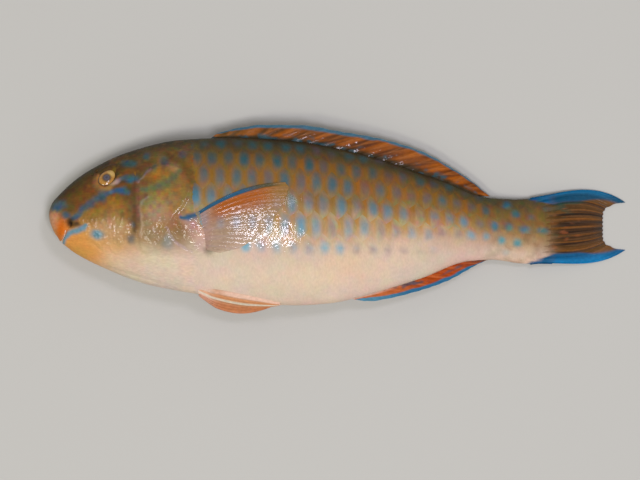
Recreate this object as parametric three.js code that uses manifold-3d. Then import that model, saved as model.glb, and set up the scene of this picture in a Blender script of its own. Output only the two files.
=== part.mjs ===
// A life-size parrotfish, a male in full colour, lying on its right side, as caught.
// Millimetres. +X runs from the snout to the tail, +Y from the belly to the back, +Z up, floor at z = 0.
// The snout tip is at x = 0, y = 0 while the pieces are made. The last lines move the origin under the
// middle of the whole fish.
import * as THREE from "three";
import { mergeVertices } from "three/addons/utils/BufferGeometryUtils.js";
import Module from "manifold-3d";

const wasm = await Module();
wasm.setup();

// Driving dimensions: the body's outline, width and lie, each as [distance from the snout, value].
const TOTAL_LENGTH = 420;
const BODY_END = 366;
const BACK = [[0, 0], [1, 6.5], [7, 14.4], [29, 32], [58, 45.4], [95, 53.8], [135, 55.8], [180, 52.8],
  [226, 43.9], [284, 25], [320, 12], [340, 11], [BODY_END, 14.2]];
const BELLY = [[0, 0], [1, 7], [4.4, 15.3], [14.6, 26], [36, 37.8], [72, 51.5], [110, 58.8], [145, 64.8],
  [180, 66.7], [205, 65], [226, 60.4], [270, 47.2], [305, 34.6], [322, 33.6], [345, 36.4], [BODY_END, 36.8]];
const HALF_WIDTH = [[0, 0], [1, 5.5], [4, 10], [10, 14.5], [20, 18], [43, 23.5], [65, 27.5], [90, 30],
  [130, 31.5], [170, 30.2], [210, 26.5], [250, 20.5], [290, 14], [325, 9.2], [350, 6.2], [BODY_END, 3.4]];
const WIDEST = [[0, 0], [60, -1], [150, -2], [226, -6], [284, -9], [340, -12], [BODY_END, -11.8]];
const LIE = [[0, 25], [43, 26], [90, 28], [130, 28.5], [170, 27.4], [210, 23.8], [250, 18.6], [290, 13.6],
  [325, 9.4], [350, 6.8], [BODY_END, 5.2], [405, 0.9], [TOTAL_LENGTH, 0.7]];
const FLOOR_BLEND = 1;

// Gaps and thicknesses.
const GAP = 0.3;
const PLATE_DEPTH = 4;
const LIP_DEPTH = 3.2;
const GILL_PROUD = 0.9;
const LIP_PROUD = 0.5;
const SCALE_RELIEF = 0.45;
const FIN_CLEARANCE = SCALE_RELIEF + GAP;
const MEMBRANE_HALF = 0.3;
const FAR = 90;

// How finely the body is drawn.
const RING = 36;
const NOSE_STATIONS = 7;
const CURVE_STEPS = 2;
const HEAD_STEP = 6.6;
const SCALE_PITCH = 11.7;
const SCALES_FROM = 95;

// Where the body is parted.
const NECK_TOP = [95, 70];
const NECK_FOOT = [72, -80];
const VENT_X = 215;
const STALK_X = 318;

// Eye, nostrils and mouth.
const EYE = { x: 42.7, y: 26.7, across: 7.5, deep: 5, sunk: 2.9 };
const EYE_RIM = { radius: 7.3, thick: 1.3, sunk: 0.5 };
const NOSTRILS = [[34.2, 30.6], [31.4, 28.4]];
const NOSTRIL_RADIUS = 1.2;
const MOUTH_CORNER = [14.9, -7.4];
const CORNER_RADIUS = 1.6;

const smoothStep = (t) => t * t * (3 - 2 * t);
const mix = (a, b, t) => a + (b - a) * t;

// A smooth line through [x, value] knots that never overshoots them, read against the square root of x
// so that the snout comes out round.
function through(knots) {
  const at = knots.map(([x]) => Math.sqrt(x));
  const value = knots.map(([, y]) => y);
  const slope = at.slice(1).map((s, i) => (value[i + 1] - value[i]) / (s - at[i]));
  const tangent = value.map((_, i) => {
    if (i === 0) return slope[0];
    if (i === slope.length) return slope[i - 1];
    const product = slope[i - 1] * slope[i];
    return product <= 0 ? 0 : (2 * product) / (slope[i - 1] + slope[i]);
  });
  return (x) => {
    const s = Math.sqrt(Math.min(Math.max(x, 0), knots[knots.length - 1][0]));
    let i = 0;
    while (i < at.length - 2 && s > at[i + 1]) i++;
    const h = at[i + 1] - at[i];
    const t = (s - at[i]) / h;
    const rise = (1 + 2 * t) * (1 - t) * (1 - t) * value[i] + t * t * (3 - 2 * t) * value[i + 1];
    return rise + h * t * (1 - t) * ((1 - t) * tangent[i] - t * tangent[i + 1]);
  };
}

const back = through(BACK);
const belly = through(BELLY);
const halfWidth = through(HALF_WIDTH);
const widest = through(WIDEST);
const lie = through(LIE);

// The underside flattens where the fish's weight presses it on the floor.
function pressed(z) {
  if (z >= FLOOR_BLEND) return z;
  return z <= -FLOOR_BLEND ? 0 : (z + FLOOR_BLEND) ** 2 / (4 * FLOOR_BLEND);
}

// A point of the skin: angle 0 is the back, 90 degrees the left side, which faces up.
function skinPoint(x, angle, grow = 0) {
  const cos = Math.cos(angle);
  const sin = Math.sin(angle);
  const middle = widest(x);
  const reach = cos > 0 ? back(x) - middle : belly(x) + middle;
  const y = middle + Math.max(reach + grow, 0.05) * cos;
  const z = lie(x) + Math.max(halfWidth(x) + grow, 0.05) * sin;
  return new THREE.Vector3(x, y, pressed(z));
}

// The height of the skin above or under a point of the side view. side is 1 for the left, -1 for the right.
function sideHeight(x, y, side, grow = 0) {
  const middle = widest(x);
  const reach = y > middle ? back(x) - middle : belly(x) + middle;
  const cos = Math.min(Math.abs(y - middle) / (reach + grow), 1);
  return lie(x) + side * (halfWidth(x) + grow) * Math.sqrt(1 - cos * cos);
}

function solidOf(geometry) {
  const bare = geometry.index ? geometry.toNonIndexed() : geometry.clone();
  const positions = new THREE.BufferGeometry().setAttribute("position", bare.getAttribute("position"));
  const merged = mergeVertices(positions, 1e-4);
  const made = (order) =>
    new wasm.Manifold(new wasm.Mesh({
      numProp: 3,
      vertProperties: merged.attributes.position.array,
      triVerts: order,
    }));
  const triangles = new Uint32Array(merged.index.array);
  const solid = made(triangles);
  return solid.volume() >= 0 ? solid : made(triangles.reverse());
}

// A node keeps only its largest closed surface.
function largest(solid) {
  return solid.decompose().reduce((best, piece) => (piece.volume() > best.volume() ? piece : best));
}

function geometryOf(solid) {
  const mesh = solid.getMesh();
  const geometry = new THREE.BufferGeometry()
    .setAttribute("position", new THREE.BufferAttribute(new Float32Array(mesh.vertProperties), 3))
    .setIndex(new THREE.BufferAttribute(new Uint32Array(mesh.triVerts), 1));
  geometry.computeVertexNormals();
  return geometry;
}

function geometryFrom(points, triangles) {
  return new THREE.BufferGeometry()
    .setAttribute("position", new THREE.Float32BufferAttribute(points.flatMap((p) => [p.x, p.y, p.z]), 3))
    .setIndex(triangles);
}

// Stations along the body: close together round the snout, then half a scale apart.
function bodyStations() {
  const stations = [];
  for (let i = 0; i < NOSE_STATIONS; i++) stations.push(0.5 * i * i);
  while (stations.at(-1) + HEAD_STEP < SCALES_FROM) stations.push(stations.at(-1) + HEAD_STEP);
  const count = Math.round((BODY_END - SCALES_FROM) / (SCALE_PITCH / 2));
  for (let i = 0; i <= count; i++) stations.push(mix(SCALES_FROM, BODY_END, i / count));
  return stations;
}

// The whole body as one solid. With scales, the middle of each large scale stands a little proud.
function bodySolid(grow, scaled = false) {
  const stations = bodyStations();
  const first = stations.indexOf(SCALES_FROM);
  const points = [skinPoint(0, 0)];
  const triangles = [];
  const ringStart = (i) => 1 + (i - 1) * RING;
  for (let i = 1; i < stations.length; i++)
    for (let j = 0; j < RING; j++) {
      const onScale = scaled && i > first && j % 2 === 0 && (i - first + j / 2) % 2 === 0;
      const angle = (2 * Math.PI * j) / RING;
      points.push(skinPoint(stations[i], angle, grow + (onScale ? SCALE_RELIEF : 0)));
    }
  const end = points.length;
  points.push(new THREE.Vector3(BODY_END, widest(BODY_END), lie(BODY_END)));
  for (let j = 0; j < RING; j++) {
    const next = (j + 1) % RING;
    triangles.push(0, ringStart(1) + next, ringStart(1) + j);
    for (let i = 1; i < stations.length - 1; i++) {
      const [a, b] = [ringStart(i) + j, ringStart(i) + next];
      const [c, d] = [ringStart(i + 1) + j, ringStart(i + 1) + next];
      if ((i + j) % 2) triangles.push(a, b, d, a, d, c);
      else triangles.push(a, b, c, b, d, c);
    }
    const last = ringStart(stations.length - 1);
    triangles.push(end, last + j, last + next);
  }
  return solidOf(geometryFrom(points, triangles));
}

// A closed outline in the side view: straight between corners, or one smooth curve.
function outline(corners, smooth) {
  if (!smooth) return corners.map(([x, y]) => new THREE.Vector2(x, y));
  const curve = new THREE.CatmullRomCurve3(
    corners.map(([x, y]) => new THREE.Vector3(x, y, 0)), true, "centripetal");
  return curve.getPoints(corners.length * CURVE_STEPS).slice(0, -1).map((p) => new THREE.Vector2(p.x, p.y));
}

// The outline moved outwards by a small distance.
function outset(points, distance) {
  const turn = THREE.ShapeUtils.isClockWise(points) ? -1 : 1;
  return points.map((p, i) => {
    const before = points[(i + points.length - 1) % points.length];
    const after = points[(i + 1) % points.length];
    const inward = p.clone().sub(before).normalize();
    const outward = after.clone().sub(p).normalize();
    const along = inward.clone().add(outward).normalize();
    const stretch = 1 / Math.max(Math.sqrt((1 + inward.dot(outward)) / 2), 0.4);
    return new THREE.Vector2(along.y, -along.x).multiplyScalar(turn * distance * stretch).add(p);
  });
}

// An outline of the side view pushed through from low to high.
function prism(points, low = -FAR, high = FAR) {
  const settings = { depth: high - low, bevelEnabled: false };
  return solidOf(new THREE.ExtrudeGeometry(new THREE.Shape(points), settings).translate(0, 0, low));
}

// A plate let into the skin: its own solid, and the pocket that it sits in.
function plate(points, depth, proud, low, high) {
  const solid = prism(points, low, high).intersect(bodySolid(proud)).subtract(bodySolid(-depth));
  const pocket = prism(outset(points, GAP), low, high).subtract(bodySolid(-depth - GAP));
  return { solid, pocket };
}

// A fin: rays raised as ridges on a thin membrane, every column of points a ray or the web between two.
// place(u, v) gives the fin's middle surface, u across the rays and v along them from the root. Over the
// fleshy share of its length the web thins from the rays' own thickness to the membrane's.
function finSolid(rays, rows, place, rayHalf, { webShort = 0.05, fleshy = 0, onFloor = false } = {}) {
  const columns = 2 * rays - 1;
  const grid = [];
  for (let i = 0; i < columns; i++) {
    const isRay = i % 2 === 0;
    const column = [];
    for (let j = 0; j <= rows; j++) {
      const v = (j / rows) * (isRay ? 1 : 1 - webShort);
      const ray = rayHalf(v, i / 2);
      const web = v < fleshy ? mix(ray, MEMBRANE_HALF, v / fleshy) : MEMBRANE_HALF;
      column.push({ p: place(i / (columns - 1), v), half: isRay ? ray : web });
    }
    grid.push(column);
  }
  const at = (i, j) => grid[Math.min(Math.max(i, 0), columns - 1)][Math.min(Math.max(j, 0), rows)].p;
  const points = [];
  const index = (i, j, side) => 2 * (i * (rows + 1) + j) + side;
  const last = columns - 1;
  for (let i = 0; i < columns; i++)
    for (let j = 0; j <= rows; j++) {
      const across = at(i + 1, j).clone().sub(at(i - 1, j));
      const along = at(i, j + 1).clone().sub(at(i, j - 1));
      const normal = across.cross(along).normalize();
      if (normal.z < 0) normal.negate();
      const { p, half } = grid[i][j];
      for (const side of [1, -1]) {
        const q = p.clone().addScaledVector(normal, side * half);
        if (onFloor) q.z = Math.max(q.z, side > 0 ? 2 * MEMBRANE_HALF : 0);
        points.push(q);
      }
    }
  const triangles = [];
  const quad = (a, b, c, d) => triangles.push(a, b, c, a, c, d);
  for (let i = 0; i < columns - 1; i++)
    for (let j = 0; j < rows; j++) {
      quad(index(i, j, 0), index(i + 1, j, 0), index(i + 1, j + 1, 0), index(i, j + 1, 0));
      const [a, b] = [index(i, j, 1), index(i + 1, j, 1)];
      const [c, d] = [index(i + 1, j + 1, 1), index(i, j + 1, 1)];
      triangles.push(a, c, b, a, d, c);
    }
  for (let i = 0; i < columns - 1; i++) {
    quad(index(i, 0, 1), index(i + 1, 0, 1), index(i + 1, 0, 0), index(i, 0, 0));
    quad(index(i, rows, 0), index(i + 1, rows, 0), index(i + 1, rows, 1), index(i, rows, 1));
  }
  for (let j = 0; j < rows; j++) {
    quad(index(0, j, 0), index(0, j + 1, 0), index(0, j + 1, 1), index(0, j, 1));
    quad(index(last, j, 1), index(last, j + 1, 1), index(last, j + 1, 0), index(last, j, 0));
  }
  return solidOf(geometryFrom(points, triangles));
}

// Along a ray both bows are 1 where they are highest: half way, or at two thirds.
const evenBow = (v) => 4 * v * (1 - v);
const lateBow = (v) => 6.75 * v * v * (1 - v);

// The long fins fold back along the body. sweep is how far behind its root a ray ends: the first one, the
// longest and the last, with rise the share of the fin over which it grows and fall that over which it drops.
const SPINE_TIP_HALF = 0.55;

function foldedFin(fin, side, margin) {
  const edge = side > 0 ? back : belly;
  const place = (u, v) => {
    const rootX = mix(fin.from, fin.to, u);
    const grown = smoothStep(Math.min(u / fin.rise, 1));
    const dropped = smoothStep(Math.max((u - 1) / fin.fall + 1, 0));
    const tipX = rootX + mix(mix(fin.sweep[0], fin.sweep[1], grown), fin.sweep[2], dropped);
    const x = mix(rootX, tipX, v);
    const y = mix(side * (edge(rootX) - fin.root), margin(tipX), v);
    return new THREE.Vector3(x, y, lie(x) - fin.droop * v * v);
  };
  return finSolid(fin.rays, fin.rows, place, (v) => mix(fin.rayHalf, SPINE_TIP_HALF, v));
}

// Dorsal fin: nine spines and ten soft rays.
const DORSAL = {
  rays: 19, rows: 5, from: 114, to: 303, root: 3, droop: 3, rayHalf: 1.5,
  sweep: [8, 32, 17.5], rise: 0.3, fall: 0.3,
};
const DORSAL_MARGIN = through([[111, 55.4], [124, 59.4], [138, 62.7], [154, 64.8], [182, 64.6], [211, 60.1],
  [240, 55], [270, 45.9], [291, 34.6], [306, 24.8], [321, 12.6]]);

// Anal fin: three spines and nine soft rays.
const ANAL = {
  rays: 12, rows: 4, from: 214, to: 303, root: 3, droop: 1.5, rayHalf: 1.4,
  sweep: [14, 24, 17.5], rise: 0.35, fall: 0.3,
};
const ANAL_MARGIN = through([[214, -62.6], [222, -62.6], [233, -63.4], [248, -61.2], [262, -57.8],
  [277, -53.4], [291, -48], [302, -42], [312, -36.4], [321, -32.6]]);

// Tail fin: thirteen rays, the outer ones bowed into two narrow lobes beside an almost straight edge.
const CAUDAL = { rays: 13, rows: 6, rootX: 350, forkX: 403.6, forkPower: 6.5, fleshy: 0.34, edgeRay: 0.35 };
const CAUDAL_ROOTS = { top: 12, foot: -37 };
const CAUDAL_TIPS = { top: 8.6, foot: -26.2 };
const CAUDAL_BOWS = { top: 8.2, foot: -5.6, topLate: 0.6 };
const CAUDAL_BASE = { sag: 7, halfHeight: 26 };
const caudalEdge = (y) => BODY_END - CAUDAL_BASE.sag * ((y - widest(BODY_END)) / CAUDAL_BASE.halfHeight) ** 2;

function caudalFin() {
  const place = (u, v) => {
    const fromMiddle = Math.abs(2 * u - 1);
    const tipX = mix(CAUDAL.forkX, TOTAL_LENGTH, fromMiddle ** CAUDAL.forkPower);
    const rootY = mix(CAUDAL_ROOTS.top, CAUDAL_ROOTS.foot, u);
    const tipY = mix(CAUDAL_TIPS.top, CAUDAL_TIPS.foot, u);
    const topBow = CAUDAL_BOWS.top * (1 - u) ** 3 * mix(evenBow(v), lateBow(v), CAUDAL_BOWS.topLate);
    const footBow = CAUDAL_BOWS.foot * u ** 3 * lateBow(v);
    const x = mix(CAUDAL.rootX, tipX, v);
    return new THREE.Vector3(x, mix(rootY, tipY, v) + topBow + footBow, lie(x));
  };
  const rayHalf = (v, ray) => {
    const edge = ray === 0 || ray === CAUDAL.rays - 1 ? CAUDAL.edgeRay : 0;
    return mix(0.5, halfWidth(CAUDAL.rootX + 6), (1 - v) ** 3) + 0.35 * (1 - v) + edge;
  };
  const { rays, rows, fleshy } = CAUDAL;
  return finSolid(rays, rows, place, rayHalf, { webShort: 0.03, fleshy, onFloor: true });
}

// Everything ahead of the curved line where the tail fin grows from the body, pushed through.
function aheadOfCaudal(shift) {
  const line = [];
  for (let k = 0; k <= 12; k++) {
    const y = mix(60, -60, k / 12);
    line.push([Math.min(caudalEdge(Math.min(Math.max(y, -40), 18)), BODY_END) + shift, y]);
  }
  return prism(outline([...line, [-FAR, -60], [-FAR, 60]], false));
}

// Pectoral fins: the left one lies on the flank, the right one is pressed flat under the body.
const PECTORAL = { rays: 13, rows: 5, bulge: 6.6, firstShort: 0.05, firstBand: 0.03 };
const PECTORAL_ROOT = [[104.5, -1.5], [113, -25.5]];
const PECTORAL_TIPS = [[174.8, 22.6], [172.5, 13], [166.8, 2], [160, -8], [150.8, -17.5], [139, -24.5],
  [124, -28]];
const PECTORAL_LIFT = 1.9;
const UNDER_TURN = THREE.MathUtils.degToRad(-30);
const UNDER_PIVOT = [109, -13];
const UNDER_HEIGHT = 1.05;

// The pectoral fin's outline in the side view. Its first ray is a little shorter than the next.
function pectoralPoint(u, v) {
  const far = v * (1 - PECTORAL.firstShort * Math.exp(-((u / PECTORAL.firstBand) ** 2)));
  const step = u * (PECTORAL_TIPS.length - 1);
  const k = Math.min(Math.floor(step), PECTORAL_TIPS.length - 2);
  const tip = [0, 1].map((c) => mix(PECTORAL_TIPS[k][c], PECTORAL_TIPS[k + 1][c], step - k));
  const root = [0, 1].map((c) => mix(PECTORAL_ROOT[0][c], PECTORAL_ROOT[1][c], u));
  const bulge = PECTORAL.bulge * evenBow(far) * (1 - u) ** 1.5;
  return new THREE.Vector2(mix(root[0], tip[0], far), mix(root[1], tip[1], far) + bulge);
}

const pectoralRay = (v, ray) => mix(ray === 0 ? 1.5 : 1.2, 0.5, Math.sqrt(v));

function leftPectoralFin() {
  const place = (u, v) => {
    const { x, y } = pectoralPoint(u, v);
    const lift = mix(-1.2, PECTORAL_LIFT, Math.min(v * 5, 1));
    return new THREE.Vector3(x, y, sideHeight(x, y, 1) + lift);
  };
  return finSolid(PECTORAL.rays, PECTORAL.rows, place, pectoralRay);
}

function underPoint(u, v) {
  return pectoralPoint(u, v).rotateAround(new THREE.Vector2(...UNDER_PIVOT), UNDER_TURN);
}

function rightPectoralFin() {
  const place = (u, v) => {
    const { x, y } = underPoint(u, v);
    return new THREE.Vector3(x, y, UNDER_HEIGHT);
  };
  return finSolid(PECTORAL.rays, PECTORAL.rows, place, (v) => mix(0.9, 0.5, v));
}

// The hollow that the right pectoral fin lies in, in the body's underside.
function underPocket() {
  const { rays, rows } = PECTORAL;
  const edge = [];
  for (let i = 0; i < rays; i++) edge.push(underPoint(i / (rays - 1), 0));
  for (let j = 1; j <= rows; j++) edge.push(underPoint(1, j / rows));
  for (let i = rays - 2; i >= 0; i--) edge.push(underPoint(i / (rays - 1), 1));
  for (let j = rows - 1; j > 0; j--) edge.push(underPoint(0, j / rows));
  return prism(outset(edge, 2 * GAP), -1, UNDER_HEIGHT + 0.9 + GAP);
}

// Pelvic fins: a spine and five soft rays each, folded together along the belly.
const PELVIC = { rays: 6, rows: 6, fromX: 108, length: 60 };
const DEGREE = Math.PI / 180;

function leftPelvicFin() {
  const place = (u, v) => {
    const x = PELVIC.fromX + PELVIC.length * v;
    const open = Math.sin(Math.PI * Math.min(0.12 + 0.88 * v, 1)) ** 0.7;
    const angle = (mix(162, 168, v) + mix(-10.5, 7.5, u) * open) * DEGREE;
    return skinPoint(x, angle, mix(-1.2, 1.7, Math.min(v * 6, 1)) + 1.6 * u * open);
  };
  return finSolid(PELVIC.rays, PELVIC.rows, place, (v, ray) => mix(ray === 5 ? 1.3 : 1, 0.45, v));
}

function rightPelvicFin() {
  const place = (u, v) => {
    const x = PELVIC.fromX + (PELVIC.length + 2 - 3 * u) * v;
    const open = Math.sin(Math.PI * Math.min(0.08 + 0.92 * v, 1)) ** 0.8;
    const root = mix(-1.5, 1.2, Math.min(v * 5, 1));
    const y = -belly(x) - root - mix(-2.5, 8.2, u) * open + mix(0, 3.5, v * v);
    return new THREE.Vector3(x, y, lie(x) - mix(3.2, 6.5, Math.min(v * 4, 1)) - 1.2 * u * open);
  };
  return finSolid(PELVIC.rays, PELVIC.rows, place, (v, ray) => mix(ray === 5 ? 1.3 : 1, 0.45, v));
}

// Gill covers, lips, tooth plates and lower jaw, drawn in the side view.
const GILL_OUTLINE = outline([[65, 22.5], [72.5, 33], [84, 37], [93.5, 34.8], [100.6, 29], [104, 21],
  [102.7, 13], [98, 4.5], [92, -2.5], [87.5, -9], [84, -17], [79, -24.5], [72.5, -28.6], [67, -27], [65, -20],
  [65.4, 0]], true);
const UPPER_LIP = outline([[-6, 2.2], [4.4, 1.2], [9, -1.4], [12.8, -4.4], [13.4, -8], [12.2, -11.8],
  [4.2, -15.6], [-6, -16]], false);
const UPPER_BEAK = outline([[-6, -16], [4.2, -15.6], [12.2, -11.8], [11.4, -14.6], [8.3, -20.9], [2, -27]],
  false);
const LOWER_BEAK = outline([[8.3, -20.9], [11.4, -14.6], [12.4, -17.4], [10.4, -22], [5, -29], [2, -27]],
  false);
const LOWER_LIP = outline([[10.4, -22], [12.4, -17.4], [13.6, -11], [17.5, -9.6], [24.5, -9.8], [25.5, -12],
  [24, -14], [19, -14.4], [15.4, -17], [13, -21.2], [11.8, -25.5], [8, -33], [5, -29]], false);
const JAW = outline([[-6, -31.4], [8.3, -20.9], [11.4, -14.6], [13.6, -10.6], [24, -11.8], [34, -17],
  [41, -26.5], [41, -60], [-6, -60]], false);
const PREOPERCLE = [[61.5, 36], [60.5, 28], [60, 18], [60.5, 4], [60.8, -8], [59, -18], [53, -26], [45, -30]];
const GROOVE_RADIUS = 1.3;

// A round-sided groove that follows the cheek plate's hind edge on one side.
function cheekGroove(side) {
  const path = new THREE.CatmullRomCurve3(
    PREOPERCLE.map(([x, y]) => new THREE.Vector3(x, y, sideHeight(x, y, side) + 0.5 * side)));
  const section = new THREE.Shape();
  for (let k = 0; k < 6; k++) {
    const angle = (Math.PI * k) / 3;
    const corner = [GROOVE_RADIUS * Math.cos(angle), GROOVE_RADIUS * Math.sin(angle)];
    if (k) section.lineTo(...corner);
    else section.moveTo(...corner);
  }
  return solidOf(new THREE.ExtrudeGeometry(section, { steps: 10, extrudePath: path, bevelEnabled: false }));
}

// Where a feature sits on the skin, and the way the skin faces there.
function onSkin(x, y, side) {
  const middle = widest(x);
  const reach = y > middle ? back(x) - middle : belly(x) + middle;
  const z = sideHeight(x, y, side);
  const normal = new THREE.Vector3(0, (y - middle) / reach ** 2, (z - lie(x)) / halfWidth(x) ** 2);
  return { point: new THREE.Vector3(x, y, z), normal: normal.normalize() };
}

function facing(geometry, { point, normal }, sunk) {
  const turn = new THREE.Quaternion().setFromUnitVectors(new THREE.Vector3(0, 0, 1), normal);
  return solidOf(geometry.applyQuaternion(turn).translate(...point.clone().addScaledVector(normal, -sunk)));
}

function eyeball(side, grow) {
  const across = EYE.across + grow;
  const ball = new THREE.SphereGeometry(1, 16, 8).scale(across, across, EYE.deep + grow);
  return facing(ball, onSkin(EYE.x, EYE.y, side), EYE.sunk);
}

function eyeRim(side) {
  const ring = new THREE.TorusGeometry(EYE_RIM.radius, EYE_RIM.thick, 6, 16);
  return facing(ring, onSkin(EYE.x, EYE.y, side), EYE_RIM.sunk);
}

function pit(x, y, side, radius) {
  return facing(new THREE.SphereGeometry(radius, 8, 4), onSkin(x, y, side), 0.2 * radius);
}

function skinLook(color, roughness = 0.45) {
  return new THREE.MeshStandardMaterial({ color, roughness, metalness: 0 });
}

const LOOKS = {
  head: skinLook(0x8a5a22),
  jaw: skinLook(0xd98c3c),
  lip: skinLook(0xe07a2a),
  blueLip: skinLook(0x4a93b8),
  beak: skinLook(0xe8d2bd, 0.3),
  eye: skinLook(0xc8924a, 0.12),
  gill: skinLook(0x9a7a45),
  body: skinLook(0xb98a55),
  fin: skinLook(0xb5581c, 0.4),
  tailFin: skinLook(0x7a4a1c, 0.4),
};

const fish = new THREE.Group();
const pieces = new Map();

function add(name, solid, material) {
  const mesh = new THREE.Mesh(geometryOf(largest(solid)), material);
  mesh.name = name;
  fish.add(mesh);
  pieces.set(name, mesh);
}

// The body is made whole, then each plate is let into it and the rest is parted by thin cuts.
function partTheBody() {
  let whole = bodySolid(0, true).intersect(aheadOfCaudal(0));
  const middle = lie(84);
  const plates = [
    ["gill_cover_left", plate(GILL_OUTLINE, PLATE_DEPTH, GILL_PROUD, middle + 2, FAR), LOOKS.gill],
    ["gill_cover_right", plate(GILL_OUTLINE, PLATE_DEPTH, GILL_PROUD, -FAR, middle - 2), LOOKS.gill],
    ["upper_beak", plate(UPPER_BEAK, PLATE_DEPTH, 0, -FAR, FAR), LOOKS.beak],
    ["lower_beak", plate(LOWER_BEAK, PLATE_DEPTH, 0, -FAR, FAR), LOOKS.beak],
    ["upper_lip", plate(UPPER_LIP, LIP_DEPTH, LIP_PROUD, -FAR, FAR), LOOKS.lip],
    ["lower_lip", plate(LOWER_LIP, LIP_DEPTH, LIP_PROUD, -FAR, FAR), LOOKS.blueLip],
  ];
  const pockets = [];
  for (const [name, { solid, pocket }, look] of plates) {
    add(name, pockets.reduce((rest, cut) => rest.subtract(cut), solid), look);
    pockets.push(pocket);
    whole = whole.subtract(pocket);
  }
  for (const side of [1, -1]) {
    whole = whole.add(eyeRim(side).subtract(bodySolid(-3))).subtract(eyeball(side, GAP));
    for (const [x, y] of NOSTRILS) whole = whole.subtract(pit(x, y, side, NOSTRIL_RADIUS));
    whole = whole.subtract(pit(...MOUTH_CORNER, side, CORNER_RADIUS)).subtract(cheekGroove(side));
  }
  add("lower_jaw", whole.intersect(prism(JAW)), LOOKS.jaw);
  whole = whole.subtract(prism(outset(JAW, GAP)));
  const neck = outline([[-FAR, NECK_TOP[1]], NECK_TOP, NECK_FOOT, [-FAR, NECK_FOOT[1]]], false);
  const slab = (from, to) => prism(outline([[from, -FAR], [to, -FAR], [to, FAR], [from, FAR]], false));
  add("head", whole.intersect(prism(neck)), LOOKS.head);
  const behind = whole.subtract(prism(outset(neck, GAP)));
  add("torso", behind.intersect(slab(0, VENT_X)).subtract(underPocket()), LOOKS.body);
  add("tail", behind.intersect(slab(VENT_X + GAP, STALK_X)), LOOKS.body);
  add("tail_stalk", behind.intersect(slab(STALK_X + GAP, TOTAL_LENGTH)), LOOKS.body);
}

// Each fin is cut to the body it grows from, scales and all.
function addFins() {
  const clear = bodySolid(FIN_CLEARANCE);
  const covers = ["gill_cover_left", "gill_cover_right"].map((name) => solidOf(pieces.get(name).geometry));
  const trim = (fin) => covers.reduce((rest, cover) => rest.subtract(cover), fin.subtract(clear));
  add("dorsal_fin", trim(foldedFin(DORSAL, 1, DORSAL_MARGIN)), LOOKS.fin);
  add("anal_fin", trim(foldedFin(ANAL, -1, ANAL_MARGIN)), LOOKS.fin);
  add("caudal_fin", caudalFin().subtract(aheadOfCaudal(GAP)), LOOKS.tailFin);
  add("pectoral_fin_left", trim(leftPectoralFin()), LOOKS.fin);
  add("pectoral_fin_right", rightPectoralFin(), LOOKS.fin);
  add("pelvic_fin_left", trim(leftPelvicFin()), LOOKS.fin);
  add("pelvic_fin_right", trim(rightPelvicFin()), LOOKS.fin);
}

function addEyes() {
  add("eye_left", eyeball(1, 0), LOOKS.eye);
  add("eye_right", eyeball(-1, 0), LOOKS.eye);
}

partTheBody();
addFins();
addEyes();

// The origin goes on the floor, under the middle of the whole fish.
const extent = new THREE.Box3().setFromObject(fish);
const centre = extent.getCenter(new THREE.Vector3());
for (const mesh of pieces.values()) mesh.geometry.translate(-centre.x, -centre.y, -extent.min.z);

export default fish;
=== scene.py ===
# Looks for a parrotfish that lies on its right side. Lengths are millimetres in the fish's own frame, with
# the snout tip at x = 0, y = 0, the tail along +x, the back along +y and the left flank up, along +z.
import math

import bpy
import numpy as np
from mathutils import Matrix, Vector


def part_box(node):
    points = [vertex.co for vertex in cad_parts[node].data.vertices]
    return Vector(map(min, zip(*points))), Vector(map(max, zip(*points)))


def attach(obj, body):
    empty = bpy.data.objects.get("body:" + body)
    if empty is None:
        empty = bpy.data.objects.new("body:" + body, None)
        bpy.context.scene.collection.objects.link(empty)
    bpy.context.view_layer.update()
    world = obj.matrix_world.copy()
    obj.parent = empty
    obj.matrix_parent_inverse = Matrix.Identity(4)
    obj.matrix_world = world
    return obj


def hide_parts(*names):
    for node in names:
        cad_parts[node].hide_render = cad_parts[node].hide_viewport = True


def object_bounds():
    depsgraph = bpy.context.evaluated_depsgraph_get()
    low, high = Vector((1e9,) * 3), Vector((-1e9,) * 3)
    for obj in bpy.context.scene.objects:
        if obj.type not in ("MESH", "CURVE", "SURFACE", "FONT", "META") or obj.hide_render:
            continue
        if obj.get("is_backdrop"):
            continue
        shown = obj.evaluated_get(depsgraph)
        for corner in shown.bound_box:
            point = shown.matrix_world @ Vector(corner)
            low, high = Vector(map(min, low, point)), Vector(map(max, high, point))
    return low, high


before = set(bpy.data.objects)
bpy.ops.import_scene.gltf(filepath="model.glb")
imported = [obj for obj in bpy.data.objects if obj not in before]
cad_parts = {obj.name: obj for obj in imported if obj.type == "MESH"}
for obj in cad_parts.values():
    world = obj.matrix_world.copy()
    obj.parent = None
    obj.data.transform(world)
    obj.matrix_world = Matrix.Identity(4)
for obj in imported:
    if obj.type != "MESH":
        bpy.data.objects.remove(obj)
CAD_LOW, CAD_HIGH = (tuple(corner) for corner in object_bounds())
MM = 0.001
RNG = np.random.default_rng(20)

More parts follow.
